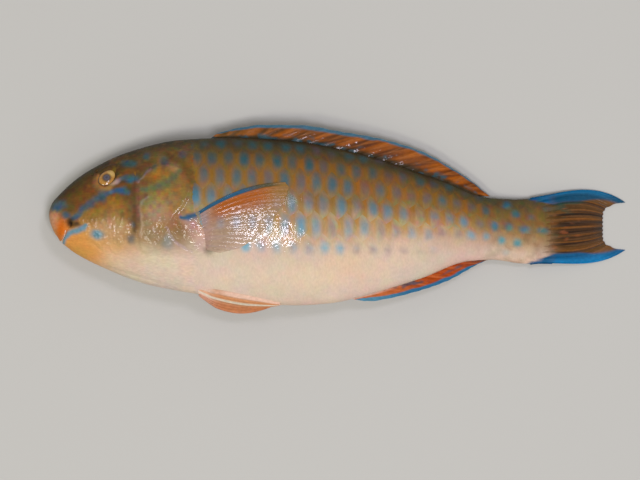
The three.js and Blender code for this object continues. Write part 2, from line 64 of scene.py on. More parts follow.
# Body outline, width and lie, each as (distance from the snout, value), as in the solids.
TOTAL_LENGTH = 420
BODY_END = 366
BACK = [(0, 0), (1, 6.5), (7, 14.4), (29, 32), (58, 45.4), (95, 53.8), (135, 55.8), (180, 52.8),
        (226, 43.9), (284, 25), (320, 12), (340, 11), (BODY_END, 14.2)]
BELLY = [(0, 0), (1, 7), (4.4, 15.3), (14.6, 26), (36, 37.8), (72, 51.5), (110, 58.8), (145, 64.8),
         (180, 66.7), (205, 65), (226, 60.4), (270, 47.2), (305, 34.6), (322, 33.6), (345, 36.4),
         (BODY_END, 36.8)]
HALF_WIDTH = [(0, 0), (1, 5.5), (4, 10), (10, 14.5), (20, 18), (43, 23.5), (65, 27.5), (90, 30),
              (130, 31.5), (170, 30.2), (210, 26.5), (250, 20.5), (290, 14), (325, 9.2), (350, 6.2),
              (BODY_END, 3.4)]
WIDEST = [(0, 0), (60, -1), (150, -2), (226, -6), (284, -9), (340, -12), (BODY_END, -11.8)]
LIE = [(0, 25), (43, 26), (90, 28), (130, 28.5), (170, 27.4), (210, 23.8), (250, 18.6), (290, 13.6),
       (325, 9.4), (350, 6.8), (BODY_END, 5.2), (405, 0.9), (TOTAL_LENGTH, 0.7)]
FLOOR_BLEND = 1.0
TORSO_TOP = 56.25
SHIFT = np.array([CAD_LOW[0] / MM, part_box("torso")[1].y / MM - TORSO_TOP, 0.0])

# Colours, linear.
PITCH_OLIVE = (0.036, 0.028, 0.012)
OLIVE = (0.075, 0.056, 0.026)
UMBER = (0.06, 0.034, 0.01)
SEPIA = (0.12, 0.058, 0.014)
RUSSET = (0.2, 0.068, 0.012)
BRONZE = (0.2, 0.11, 0.032)
GOLD = (0.31, 0.15, 0.018)
OCHRE = (0.31, 0.18, 0.055)
SAND = (0.52, 0.38, 0.24)
PINK = (0.7, 0.52, 0.42)
ORANGE = (0.52, 0.12, 0.006)
CHIN = (0.6, 0.27, 0.06)
SALMON = (0.5, 0.25, 0.13)
SLATE = (0.045, 0.09, 0.115)
TEAL = (0.025, 0.08, 0.1)
BLUE = (0.004, 0.085, 0.19)
SKY = (0.1, 0.25, 0.32)
LILAC = (0.42, 0.33, 0.42)
IVORY = (0.78, 0.7, 0.56)
# Near black: painted shade in the mouth's corner pit, in the crease over it and under the pectoral fin's
# root, and one dark spot.
SHADE_AND_SPOT_BLACK = (0.012, 0.01, 0.007)


def smooth(value, low, high):
    """Rises from 0 at low to 1 at high."""
    t = np.clip((value - low) / (high - low), 0, 1)
    return t * t * (3 - 2 * t)


def fall(value, low, high):
    return 1 - smooth(value, low, high)


def mix(a, b, t):
    return a + (b - a) * t


def grade(low, high, t):
    """From one colour to another, by an array from 0 to 1."""
    return mix(np.array(low), np.array(high), t[..., None])


def layers(base, *coats):
    """Lays coats of (colour, mask) over an array of colours."""
    for colour, mask in coats:
        base = base + (np.asarray(colour) - base) * np.clip(mask, 0, 1)[..., None]
    return base


def turned(dx, dy, degrees):
    """An offset read in axes that are turned by an angle."""
    c, s = math.cos(math.radians(degrees)), math.sin(math.radians(degrees))
    return dx * c + dy * s, dy * c - dx * s


def lumps(points, size, seed):
    """Smooth noise from -1 to 1 in lumps of a size."""
    lattice = np.random.default_rng(seed).uniform(-1, 1, (32, 32, 32))
    place = points / size + 11.3
    cell = np.floor(place).astype(int)
    a, b, c = (smooth(place[..., k] - cell[..., k], 0, 1) for k in range(3))
    corner = {}
    for i in (0, 1):
        for j in (0, 1):
            near = lattice[(cell[..., 0] + i) % 32, (cell[..., 1] + j) % 32, cell[..., 2] % 32]
            far = lattice[(cell[..., 0] + i) % 32, (cell[..., 1] + j) % 32, (cell[..., 2] + 1) % 32]
            corner[i, j] = mix(near, far, c)
    return mix(mix(corner[0, 0], corner[0, 1], b), mix(corner[1, 0], corner[1, 1], b), a)


def mottling(points, size, seed):
    """Three sizes of lumps together."""
    return (lumps(points, size, seed) + 0.5 * lumps(points, size / 2, seed + 1)
            + 0.25 * lumps(points, size / 4, seed + 2)) / 1.3


def through(knots):
    """A smooth line through (x, value) knots that never overshoots them, read against the root of x."""
    at = np.sqrt([k[0] for k in knots])
    value = np.array([k[1] for k in knots], float)
    slope = np.diff(value) / np.diff(at)
    product = slope[:-1] * slope[1:]
    inner = np.where(product > 0, 2 * product / np.where(product > 0, slope[:-1] + slope[1:], 1), 0)
    tangent = np.concatenate([slope[:1], inner, slope[-1:]])

    def read(x):
        s = np.sqrt(np.clip(x, 0, knots[-1][0]))
        i = np.clip(np.searchsorted(at, s, side="right") - 1, 0, len(at) - 2)
        h = at[i + 1] - at[i]
        t = (s - at[i]) / h
        rise = (1 + 2 * t) * (1 - t) ** 2 * value[i] + t * t * (3 - 2 * t) * value[i + 1]
        return rise + h * t * (1 - t) * ((1 - t) * tangent[i] - t * tangent[i + 1])

    return read


back = through(BACK)
belly = through(BELLY)
half_width = through(HALF_WIDTH)
widest = through(WIDEST)
lie = through(LIE)

# The body thins into the tail fin along a bowed line.
STALK_THINS = 340
STALK_EDGE = 0.3


def stalk_end(y):
    return BODY_END - 7 * ((y - widest(BODY_END)) / 26) ** 2


def body_width(x, y):
    end = stalk_end(np.clip(y, -40, 18))
    t = np.clip((x - STALK_THINS) / (end - STALK_THINS), 0, 1)
    return mix(half_width(x), np.minimum(half_width(x), STALK_EDGE), t ** 1.6)


def pressed(z, level):
    """The underside flattens where the fish's weight presses it on a level."""
    z = z - level
    soft = (np.clip(z, -FLOOR_BLEND, FLOOR_BLEND) + FLOOR_BLEND) ** 2 / (4 * FLOOR_BLEND)
    return np.where(z >= FLOOR_BLEND, z, np.where(z <= -FLOOR_BLEND, 0, soft)) + level


def free_skin(x, angle, grow=0.0):
    """A point of the skin before it is pressed: angle 0 is the back, 90 degrees the left side."""
    cos = np.cos(angle)
    middle = widest(x)
    reach = np.where(cos > 0, back(x) - middle, belly(x) + middle)
    y = middle + np.maximum(reach + grow, 0.05) * cos
    z = lie(x) + np.maximum(body_width(x, y) + grow, 0.05) * np.sin(angle)
    return np.stack([x + 0 * y, y, z], axis=-1)


def side_height(x, y, side):
    """The height of the skin at a point of the side view."""
    middle = widest(x)
    reach = np.where(y > middle, back(x) - middle, belly(x) + middle)
    cos = np.clip(np.abs(y - middle) / reach, 0, 1)
    return lie(x) + side * body_width(x, y) * np.sqrt(1 - cos * cos)


# Girth: a share of the way round from the back (0) to the belly (1) becomes the skin's angle.
GIRTH_X = np.concatenate([np.linspace(0.05, 20, 30), np.linspace(22, BODY_END, 110)])
GIRTH_SHARE = np.linspace(0, 1, 181)


def girth_table():
    angle = np.linspace(0, math.pi, 361)
    ring = free_skin(GIRTH_X[:, None], angle[None, :])
    arc = np.concatenate([np.zeros((len(GIRTH_X), 1)),
                          np.cumsum(np.linalg.norm(np.diff(ring, axis=1), axis=2), axis=1)], axis=1)
    return np.stack([np.interp(GIRTH_SHARE, row / row[-1], angle) for row in arc]), arc[:, -1]


GIRTH_ANGLE, HALF_GIRTH = girth_table()


def angle_at(x, share):
    """The skin's angle at a share of the girth. A share under 0 or over 1 runs on round the other side."""
    wrapped = np.where(share > 1, share - 2, share)
    size = np.abs(wrapped)
    i = np.clip(np.searchsorted(GIRTH_X, x) - 1, 0, len(GIRTH_X) - 2)
    across = np.clip((x - GIRTH_X[i]) / (GIRTH_X[i + 1] - GIRTH_X[i]), 0, 1)
    at = np.clip(size, 0, 1) * (len(GIRTH_SHARE) - 1)
    j = np.clip(at.astype(int), 0, len(GIRTH_SHARE) - 2)
    along = at - j
    near = mix(GIRTH_ANGLE[i, j], GIRTH_ANGLE[i, j + 1], along)
    far = mix(GIRTH_ANGLE[i + 1, j], GIRTH_ANGLE[i + 1, j + 1], along)
    return np.sign(wrapped + 1e-12) * mix(near, far, across)


def blotches(points, size, seed, low, high):
    return smooth(mottling(points, size, seed), low, high)


def depth_at(x, y):
    """How far down the side a point is: 0 at the back, 1 at the belly."""
    return (back(x) - y) / (back(x) + belly(x) + 1e-6)


# Marks in the side view. Each mask runs from 0 outside to 1 inside.
def spot(x, y, at, radii, turn=0.0, hard=1.5):
    along, across = turned(x - at[0], y - at[1], turn)
    return np.exp(-0.7 * ((along / radii[0]) ** 2 + (across / radii[1]) ** 2) ** hard)


def line_distance(x, y, points):
    """Distance to a line of points, and how far along it the nearest place is, from 0 to 1."""
    best = np.full(np.shape(x), 1e9)
    where = np.zeros(np.shape(x))
    last = len(points) - 1
    for k in range(last):
        ax, ay = points[k][:2]
        bx, by = points[k + 1][:2]
        t = np.clip(((x - ax) * (bx - ax) + (y - ay) * (by - ay)) / ((bx - ax) ** 2 + (by - ay) ** 2), 0, 1)
        d = np.hypot(x - mix(ax, bx, t), y - mix(ay, by, t))
        where = np.where(d < best, (k + t) / last, where)
        best = np.minimum(best, d)
    return best, where


def stroke(x, y, points, hard=1.4):
    """A soft band along points of (x, y, half width)."""
    d, where = line_distance(x, y, points)
    half = np.interp(where, np.linspace(0, 1, len(points)), [p[2] for p in points])
    return np.exp(-0.7 * (d / half) ** (2 * hard))


def inside(x, y, outline):
    """Signed distance to a closed outline: over 0 inside it."""
    d, _ = line_distance(x, y, outline + outline[:1])
    within = np.zeros(np.shape(x), bool)
    for (ax, ay), (bx, by) in zip(outline, outline[1:] + outline[:1]):
        if ay == by:
            continue
        crosses = (ay > y) != (by > y)
        within ^= crosses & (x < (bx - ax) * (y - ay) / (by - ay) + ax)
    return np.where(within, d, -d)


CURVE_STEPS = 6


def curved(points):
    """A closed smooth outline through its corners."""
    p = np.array(points, float)
    out = []
    for k in range(len(p)):
        a, b, c, d = (p[(k + i) % len(p)] for i in (-1, 0, 1, 2))
        for t in np.arange(CURVE_STEPS) / CURVE_STEPS:
            out.append(tuple(0.5 * (2 * b + (c - a) * t + (2 * a - 5 * b + 4 * c - d) * t * t
                                    + (3 * b - a - 3 * c + d) * t ** 3)))
    return out


# Head features, in the side view.
EYE = (42.7, 26.7)
EYE_RADII = (7.6, 5.2)
EYE_TURN = 42
NOSTRILS = [(34.2, 30.6), (31.4, 28.4)]
MOUTH_CORNER = (14.9, -7.4)
MOUTH_LINE = [(7.2, -21.6), (9.4, -19.2), (11.4, -14.8), (13, -10.6), (14.9, -7.6)]
UPPER_LIP = [(1.5, 0.5, 4.6), (3.4, -5.5, 5.2), (7.6, -10.5, 4.6), (9.6, -15.2, 3), (9, -18.8, 1.9)]
LIP_BLUE = [(10.6, -20.8, 1), (12, -16.8, 1.3), (14.8, -14.1, 1.7), (18.2, -12.6, 1.7), (21.9, -12, 1.8),
            (25, -10.4, 2.3), (27, -8.2, 1.2)]
GILL_OUTLINE = curved([(65, 22.5), (72.5, 33), (84, 37), (93.5, 34.8), (100.6, 29), (104, 21), (102.7, 13),
                       (98, 4.5), (92, -2.5), (87.5, -9), (84, -17), (79, -24.5), (72.5, -28.6), (67, -27),
                       (65, -20), (65.4, 0)])
PREOPERCLE = [(62.5, 30, 0.7), (61.6, 22, 1), (61.4, 14, 1.2), (62, 5, 1.8), (61.4, -7, 1.8),
              (59, -17, 1.4), (53.5, -25, 1.2), (46, -29.5, 1)]
GILL_RIDGE = [(73, 12.5, 0.5), (69, 9.5, 0.8), (66.6, 5, 1), (67.6, -2, 1.1), (68.2, -9, 0.9),
              (66.2, -16, 0.5)]
GILL_TOP_EDGE = [(65, 22.5, 0.6), (68.2, 26.6, 0.8), (71.6, 30, 0.8), (74, 32, 0.5)]
GILL_MEMBRANE = [(86, -10, 0.7), (89.5, -16.5, 0.9), (94.5, -22, 1), (101, -25.8, 0.8), (104, -27, 0.4)]
PECTORAL_BASE = [(98, -3.4, 3), (104, -8, 4.6), (109, -16, 5), (111.5, -24, 4)]
JAW_FOLD = [(14, -20, 0.8), (22, -18.5, 1), (31, -20.5, 1), (38, -27, 0.8)]
ISTHMUS = [(40, -38, 0.9), (60, -44.5, 1.2), (80, -50, 0.8)]
VENT = (211, -62.2)

# Painted bands and blotches of the head. A spot is (colour, strength, centre, radii), with a turn in
# degrees where it has one, and a stroke is (colour, strength, points), with 1 where its edge is softer.
STRIPE = [(17.5, -3.6, 2), (21.1, -1.2, 1.9), (24.4, 3.4, 2.2), (29.1, 6.8, 2.6), (33.5, 9.8, 2.5),
          (38, 12.2, 2.6), (44, 15.2, 1.4), (49.5, 16.9, 1.8), (54, 16.6, 2.6), (57.6, 15.2, 1.5)]
GREEN_BAND = [(68.5, 17.2, 1.8), (74.3, 17.8, 2.4), (80.1, 19.4, 2.8), (86, 21.8, 2.8), (91.1, 26.2, 2.6),
              (95.4, 30.8, 1.6)]
HEAD_MARKS = [
    (RUSSET, 0.6, (29, 14), (10, 6), 35),
    (RUSSET, 0.3, (86, 42), (15, 5), -8),
    (SEPIA, 0.6, (70, 37), (9, 5), 10),
    (GOLD, 0.5, (31, 0), (9, 5), 20),
    (GOLD, 0.4, (48, 8), (8, 5)),
    (CHIN, 0.95, (23, -24.5), (16, 9), -28),
    (SALMON, 0.95, (2.5, -4.5), (5.5, 7.5)),
    (ORANGE, 1.0, (9, -11.4), (3.8, 8.8), -12),
    (SAND, 0.3, (45, -10), (11, 6)),
    (UMBER, 0.6, (60, 21), (7, 12)),
    # Painted shade in the groove behind the preopercle, laid over the skin's own brown.
    (UMBER, 0.5, [(61.3, 26, 0.8), (61, 16, 1), (61, 8, 1.2)], 1),
    ((0.095, 0.047, 0.013), 0.9, [(62.5, 17, 2.4), (63.6, 5, 3.8), (63.4, -3, 3.6), (62.6, -12, 2)], 1),
    ((0.3, 0.16, 0.1), 0.2, [(66, 21, 2), (65.5, 14, 3), (64.6, 6, 1.6), (64.8, -6, 1.4)], 1),
    (OCHRE, 0.5, [(33.5, 26, 1.4), (34.5, 20, 2), (39, 16.8, 2.2), (45, 17.6, 1.6)], 1),
    # Pale pink along the eye's lower rim: its pale tissue, with a painted reflection of the wet eye over it.
    (PINK, 0.4, (48.6, 22.9), (4.4, 1.5), 30),
    ((0.36, 0.16, 0.04), 0.6, [(35.4, 27, 1), (36, 22, 1.2), (40, 18.6, 1.3), (45, 18.8, 1)], 1),
    (RUSSET, 0.6, (59, 30.6), (5.4, 2.2)),
    (RUSSET, 0.55, (55.5, 20.4), (7, 1.8), 8),
    # Painted shade outside the gill cover's rear edge.
    (UMBER, 0.45, [(86, 43, 2), (95, 38, 3), (102, 30, 2.6), (105.5, 20, 2), (104.5, 11, 1.2)]),
    (RUSSET, 0.4, (103, 36), (4, 7), 15),
    (SEPIA, 0.6, (72, 24), (6, 3), 30),
    ((0.3, 0.13, 0.022), 0.55, (80.1, 26.6), (9, 4.4), 12),
    (ORANGE, 0.25, (78.5, 28.4), (6, 2.8), 10),
    ((0.2, 0.09, 0.014), 0.45, (100, 22), (7, 12)),
    ((0.3, 0.2, 0.11), 0.4, (80, 4), (9, 9)),
    (SALMON, 0.35, (91, 33), (5, 3), -30),
    ((0.095, 0.125, 0.055), 0.85, GREEN_BAND),
    (SAND, 0.2, (78, -2), (9, 9)),
    (SLATE, 0.85, STRIPE),
    (TEAL, 0.7, (38.8, 12.2), (2.8, 4.2), 20),
    (SKY, 0.3, (46, 15.9), (2, 1.1), 15),
    (BLUE, 0.6, (52.2, 16.6), (4.2, 1.9)),
    (BLUE, 0.3, (19.5, -2.6), (2.6, 1.6), 20),
    (SLATE, 0.95, (12.2, -1), (3, 2.3), -8),
    ((0.05, 0.11, 0.13), 0.9, (6.5, 5.8), (5.4, 3.4), 15),
    (BLUE, 0.55, (5.4, 3.8), (3.2, 2), 10),
    (SEPIA, 0.85, (19, -7.8), (4.4, 2.6)),
    (SKY, 0.95, LIP_BLUE),
    # Painted shade in the pit of the mouth corner and in the crease over it, and a dark spot behind the
    # corner.
    (SHADE_AND_SPOT_BLACK, 0.95, MOUTH_CORNER, (2, 2.9)),
    (SHADE_AND_SPOT_BLACK, 0.6, (19.6, -7.6), (1.9, 1.4)),
    (SHADE_AND_SPOT_BLACK, 0.5, (14.5, -5), (4, 1.6), 20),
    (SKY, 0.95, (35.2, -15), (4.4, 3.2), -14),
    (TEAL, 0.25, (34.6, -15.2), (2.6, 1.8), -14),
    (TEAL, 0.85, (58.6, 36.2), (5.4, 2.4)),
    (SLATE, 0.85, (60.4, 25.2), (5, 2.7)),
    (BLUE, 0.4, (60.4, 24.8), (3.4, 1.6)),
    (SLATE, 0.6, (54.6, 26), (4, 1.5), 25),
    (TEAL, 0.7, (71, 41.6), (2.4, 2.8)),
    (TEAL, 0.65, (84, 37.8), (3.4, 3)),
    (TEAL, 0.5, (97, 43), (3, 2.6)),
    (TEAL, 0.4, (76.5, 33.5), (3, 2), 30),
    (SLATE, 0.5, (61.2, -7.8), (1.6, 2.2)),
    (SLATE, 0.6, (60, -18.4), (2.6, 3)),
    (SKY, 0.35, (86.5, -20.4), (4, 4.4)),
    (LILAC, 0.3, GILL_MEMBRANE),
    (LILAC, 0.2, GILL_TOP_EDGE, 1),
    (PINK, 0.18, GILL_RIDGE, 1),
    (RUSSET, 0.4, (96, -11), (9, 7), -30),
    ((0.5, 0.26, 0.26), 0.45, PECTORAL_BASE),
    (BLUE, 0.95, [(96.5, -3, 1.2), (101, -2.8, 2), (106, -1.4, 1.8), (110, 1.2, 1.4)]),
    # Painted shade in the gap under the lower end of the pectoral fin's root.
    (SHADE_AND_SPOT_BLACK, 0.5, (115.5, -27), (3.4, 2.6), -20),
]

# Base colours down the side, from the back (0) to the belly (1).
SNOUT_RUN = [(0, PITCH_OLIVE), (0.1, (0.07, 0.04, 0.011)), (0.3, (0.1, 0.052, 0.012)), (0.42, SEPIA),
             (0.52, BRONZE), (0.64, CHIN), (1, CHIN)]
CHEEK_RUN = [(0, PITCH_OLIVE), (0.1, UMBER), (0.24, (0.085, 0.04, 0.01)), (0.4, (0.17, 0.085, 0.017)),
             (0.52, (0.29, 0.165, 0.045)), (0.66, (0.41, 0.24, 0.08)), (0.78, (0.55, 0.33, 0.14)),
             (0.88, (0.6, 0.44, 0.28)), (1, (0.62, 0.49, 0.37))]
GILL_RUN = [(0, PITCH_OLIVE), (0.08, (0.1, 0.076, 0.034)), (0.22, (0.16, 0.095, 0.028)),
            (0.4, (0.24, 0.14, 0.042)), (0.56, (0.24, 0.145, 0.056)), (0.68, (0.3, 0.2, 0.105)),
            (0.8, (0.6, 0.48, 0.35)), (1, (0.62, 0.5, 0.38))]
TRUNK_RUN = [(0, PITCH_OLIVE), (0.06, (0.066, 0.045, 0.017)), (0.14, (0.15, 0.08, 0.022)),
             (0.22, (0.2, 0.105, 0.026)), (0.32, (0.23, 0.14, 0.052)), (0.42, (0.33, 0.22, 0.1)),
             (0.5, (0.4, 0.285, 0.15)), (0.58, (0.48, 0.35, 0.225)), (0.68, (0.55, 0.425, 0.305)),
             (0.8, (0.59, 0.465, 0.355)), (0.92, (0.62, 0.5, 0.39)), (1, PINK)]
STALK_RUN = [(0, OLIVE), (0.08, (0.07, 0.056, 0.022)), (0.3, (0.16, 0.088, 0.024)),
             (0.52, (0.26, 0.15, 0.055)), (0.7, (0.42, 0.28, 0.16)), (0.86, (0.56, 0.41, 0.31)),
             (1, (0.62, 0.43, 0.32))]
# Where each run takes over from the one before it.
RUNS = [(CHEEK_RUN, 14, 56), (GILL_RUN, 50, 80), (TRUNK_RUN, 92, 118), (STALK_RUN, 250, 335)]


def run_colour(share, run):
    at = [s for s, _ in run]
    return np.stack([np.interp(share, at, [c[k] for _, c in run]) for k in range(3)], axis=-1)


WEDGE_START = 346


def tail_wedges(x, y):
    """The blue that starts along both edges of the stalk and runs on along the tail fin."""
    wide = 7.4 * np.clip((x - WEDGE_START) / 22, 0, 1)
    top, foot = (smooth(height, edge(x) - wide - 0.8, edge(x) - wide + 0.8)
                 for height, edge in ((y, back), (-y, belly)))
    return np.maximum(top, foot) * smooth(x, WEDGE_START, WEDGE_START + 4)


# Spots of the stalk, which leave the rows: centre, radii and strength.
STALK_SPOTS = [((332.6, 6.3), (2.9, 2.5), 0.8), ((339, -0.1), (2.9, 2.5), 0.75),
               ((350.8, -2.5), (2.6, 2), 0.4), ((362.4, 3.9), (3, 1.9), 0.5), ((323.7, -9), (2.5, 3.1), 0.9),
               ((334.2, -9.8), (2.7, 2.7), 0.75), ((345.9, -11.4), (3.7, 2.4), 0.85),
               ((359.6, -12.2), (4, 2.1), 0.95), ((328.6, -19.4), (2.5, 2.6), 0.9),
               ((340.2, -21), (2.9, 2.5), 0.9), ((331.5, -28), (2.4, 2.2), 0.3)]


def stalk_spots(colour, points):
    x = points[..., 0] + 0.6 * lumps(points, 3, 220)
    y = points[..., 1] + 0.6 * lumps(points, 3, 225)
    for at, radii, strength in STALK_SPOTS:
        tone = mix(np.array((0.012, 0.11, 0.15)), np.array((0.06, 0.25, 0.31)), smooth(-at[1], 2, 22))
        colour = layers(colour, (tone, strength * spot(x, y, at, radii)))
    return colour


def flank_colour(points):
    """The skin's own colour without the spots of the scales."""
    x, y = points[..., 0], points[..., 1]
    share = np.clip(np.clip(depth_at(x, y), 0, 1) + 0.03 * mottling(points, 14, 40), 0, 1)
    along = x + 5 * mottling(points, 18, 44)
    colour = run_colour(share, SNOUT_RUN)
    for run, low, high in RUNS:
        colour = mix(colour, run_colour(share, run), smooth(along, low, high)[..., None])
    stalk = smooth(x, 300, 335)
    colour = layers(
        colour,
        ((0.7, 0.52, 0.33), 0.5 * spot(x, y, (222, -40), (38, 15), 18, 1)),
        ((0.7, 0.52, 0.34), 0.4 * spot(x, y, (158, -46), (32, 9), 0, 1)),
        (RUSSET, 0.35 * stalk * blotches(points, 7, 230, 0.1, 0.7)),
        (UMBER, 0.3 * stalk * blotches(points, 8, 240, 0.1, 0.7)))
    return layers(
        stalk_spots(colour, points),
        (SEPIA, 0.75 * smooth(x, 350, 372) * fall(share, 0.75, 1)),
        (BLUE, 0.97 * tail_wedges(x, y)))


def tinge(colour, points, size, amount):
    """Each channel varied by lumps of its own."""
    tints = np.stack([mottling(points, size, 180 + 10 * k) for k in range(3)], axis=-1)
    return colour * (1 + np.asarray(amount)[..., None] * tints)


def head_colour(points):
    x, y = points[..., 0], points[..., 1]
    patchy = 0.6 * smooth(x, 20, 50) * fall(x, 100, 125) * smooth(y, -30, 0)
    calm = 1 - 0.8 * smooth(y / (back(x) + 1), 0.6, 0.95)
    colour = layers(flank_colour(points), (SEPIA, patchy * blotches(points, 8, 50, 0.1, 0.6)),
                    (GOLD, patchy * calm * blotches(points, 6, 60, 0.1, 0.6)))
    warp_x = x + 0.7 * lumps(points, 3, 70)
    warp_y = y + 0.7 * lumps(points, 3, 80)
    for tone, strength, at, *shape in HEAD_MARKS:
        mask = stroke if isinstance(at, list) else spot
        colour = layers(colour, (tone, strength * mask(warp_x, warp_y, at, *shape)))
    colour = tinge(colour, points, 13, 0.07)
    return tinge(colour, points, 3, 0.04 + 0.28 * fall(depth_at(x, y), 0.4, 0.72))


def wrinkles(points):
    """Fine crinkles of loose wet skin on the cheek and behind the gill cover."""
    x, y = points[..., 0], points[..., 1]
    loose = np.maximum(spot(x, y, (32, -9), (12, 7)), spot(x, y, (47, -14), (13, 12)))
    loose = np.maximum(loose, 0.8 * spot(x, y, (82, -12), (15, 10)))
    folds = (1 - np.abs(lumps(points * (1, 0.7, 0.7), 2.6, 100))) ** 4
    return loose * (0.9 * folds - 0.3) + 0.05 * lumps(points, 1.3, 110)


# How far each line of the head stands out or, under 0, is sunk in.
RELIEF_LINES = [(GILL_RIDGE, 0.25), (PREOPERCLE, -0.6), (GILL_TOP_EDGE, 0.25), (GILL_MEMBRANE, -0.5),
                (UPPER_LIP, 0.9), (LIP_BLUE, 0.7), (JAW_FOLD, -0.5), (ISTHMUS, -0.4), (PECTORAL_BASE, 0.4)]


def head_relief(points):
    """How far the skin of the head stands out."""
    x, y = points[..., 0], points[..., 1]
    out = 0.9 * smooth(inside(x, y, GILL_OUTLINE), -0.4, 2.4)
    for line, rise in RELIEF_LINES:
        out += rise * stroke(x, y, line, 1)
    d, _ = line_distance(x, y, MOUTH_LINE)
    out -= 1.6 * np.exp(-(d / 0.75) ** 2)
    out -= 2.2 * spot(x, y, MOUTH_CORNER, (1.9, 2.4), 0, 1)
    along, across = turned(x - EYE[0], y - EYE[1], EYE_TURN)
    q = np.hypot(along / EYE_RADII[0], across / EYE_RADII[1])
    out += 0.7 * np.exp(-((q - 1.2) / 0.2) ** 2) - 1.9 * np.exp(-(q / 0.9) ** 6)
    for at in NOSTRILS:
        r = np.hypot(x - at[0], y - at[1])
        out += 0.3 * np.exp(-((r - 1.4) / 0.45) ** 2) - 1.2 * np.exp(-(r / 0.8) ** 2)
    return out + wrinkles(points)


# Meshes.
def quads(rows, columns, closed=False, start=0, flip=False):
    """Faces of a grid of points, row by row. A closed one joins its last column to its first."""
    i, j = np.meshgrid(np.arange(rows - 1), np.arange(columns if closed else columns - 1), indexing="ij")
    near, far = i * columns, (i + 1) * columns
    k = (j + 1) % columns
    faces = np.stack([near + j, near + k, far + k, far + j], axis=-1).reshape(-1, 4) + start
    return faces[:, ::-1] if flip else faces


def shell(rows, columns, start=0, flip=False):
    """Faces of a closed plate: a grid of points, a second grid after it, and the wall round both."""
    count = rows * columns
    grid = np.arange(start, start + count).reshape(rows, columns)
    ring = np.concatenate([grid[0], grid[1:, -1], grid[-1, -2::-1], grid[-2:0:-1, 0]])
    after = np.roll(ring, -1)
    wall = np.stack([ring, after, after + count, ring + count], axis=1)
    return [quads(rows, columns, start=start, flip=flip),
            quads(rows, columns, start=start + count, flip=not flip), wall if flip else wall[:, ::-1]]


# Where the skin is wettest: centre, radii and amount.
WET_ZONES = [((159, -12), (26, 16), 1.2), ((107, -14), (8, 11), 1.4), ((98, 5), (7, 6), 0.9),
             ((31, -9), (9, 6), 1.1), ((50, -14), (13, 9), 1.1), ((80, -12), (14, 8), 0.8),
             ((134, 1), (13, 5), 0.9), ((196, 57.5), (16, 4), 1.2), ((222, 50), (14, 5), 1.3),
             ((244, 45), (14, 5), 1.4), ((264, 38), (13, 5), 1.4), ((49, 23.4), (3.6, 2.4), 1.0)]
SHARP_FROM = math.radians(50)


def wetness(points):
    x, y = points[..., 0], points[..., 1]
    wet = np.zeros(x.shape)
    for at, radii, amount in WET_ZONES:
        wet = np.maximum(wet, amount * spot(x, y, at, radii))
    return wet * mix(0.4, 1, blotches(points, 7, 170, -0.5, 0.3))


def joined(grids, width):
    return np.concatenate([grid.reshape(-1, width) for grid in grids])


def build_mesh(name, grids, faces, tints, uvs=None):
    """A piece from lists of arrays: points in millimetres, faces, and a colour at each point."""
    mesh = bpy.data.meshes.new(name)
    points, tint = joined(grids, 3), joined(tints, 3)
    world = ((points + SHIFT) * MM).astype(np.float32)
    sizes = np.concatenate([np.full(len(f), f.shape[1]) for f in faces])
    corners = np.concatenate([f.reshape(-1) for f in faces])
    starts = np.concatenate([[0], np.cumsum(sizes)[:-1]])
    mesh.vertices.add(len(world))
    mesh.vertices.foreach_set("co", world.reshape(-1))
    mesh.loops.add(len(corners))
    mesh.loops.foreach_set("vertex_index", corners.astype(np.int32))
    mesh.polygons.add(len(sizes))
    mesh.polygons.foreach_set("loop_start", starts.astype(np.int32))
    mesh.update(calc_edges=True)
    mesh.polygons.foreach_set("use_smooth", np.ones(len(sizes), bool))
    colours = mesh.color_attributes.new("tint", "FLOAT_COLOR", "POINT")
    rgba = np.concatenate([np.clip(tint, 0, 1), np.ones((len(tint), 1))], axis=1)
    colours.data.foreach_set("color", rgba.astype(np.float32).reshape(-1))
    wet = mesh.attributes.new("wet", "FLOAT", "POINT")
    wet.data.foreach_set("value", wetness(points).astype(np.float32))
    if uvs:
        layer = mesh.uv_layers.new(name="OFBake")
        layer.data.foreach_set("uv", joined(uvs, 2)[corners].astype(np.float32).reshape(-1))
    mesh.validate()
    mesh.set_sharp_from_angle(angle=SHARP_FROM)
    piece = bpy.data.objects.new(name, mesh)
    bpy.context.scene.collection.objects.link(piece)
    return piece


def finish_piece(piece, material, slot, *nodes):
    piece.data.materials.append(material)
    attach(piece, "root")
    if nodes:
        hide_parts(*nodes)


def grid_normals(points, closed=False):
    """Unit normals of a grid of points."""
    if closed:
        wide = np.concatenate([points[:, -1:], points, points[:, :1]], axis=1)
        across = wide[:, 2:] - wide[:, :-2]
    else:
        across = np.gradient(points, axis=1)
    normal = np.cross(across, np.gradient(points, axis=0))
    return normal / np.maximum(np.linalg.norm(normal, axis=-1, keepdims=True), 1e-9)


# Materials.
FINE_BUMP = 0.0002
HUE_SCALE = 110
BUMP_SCALE = 1100
RIPPLE_SCALE = 520


def feed(tree, made, inputs):
    """Sets a node's inputs, each to a value or to the output that feeds it."""
    for name, value in inputs.items():
        if isinstance(value, bpy.types.NodeSocket):
            tree.links.new(value, made.inputs[name])
        else:
            made.inputs[name].default_value = value


def node(tree, kind, out, inputs=None, **settings):
    """Adds a node and gives its output of a name."""
    made = tree.nodes.new("ShaderNode" + kind)
    for name, value in settings.items():
        setattr(made, name, value)
    feed(tree, made, inputs or {})
    return made.outputs[out]


def noise(tree, place, scale, detail=3.0, roughness=0.6, out="Fac"):
    return node(tree, "TexNoise", out,
                {"Vector": place, "Scale": scale, "Detail": detail, "Roughness": roughness})


def remap(tree, value, low, high, start=0.3, end=0.7):
    return node(tree, "MapRange", "Result", {"Value": value, "From Min": start, "From Max": end,
                                             "To Min": low, "To Max": high})


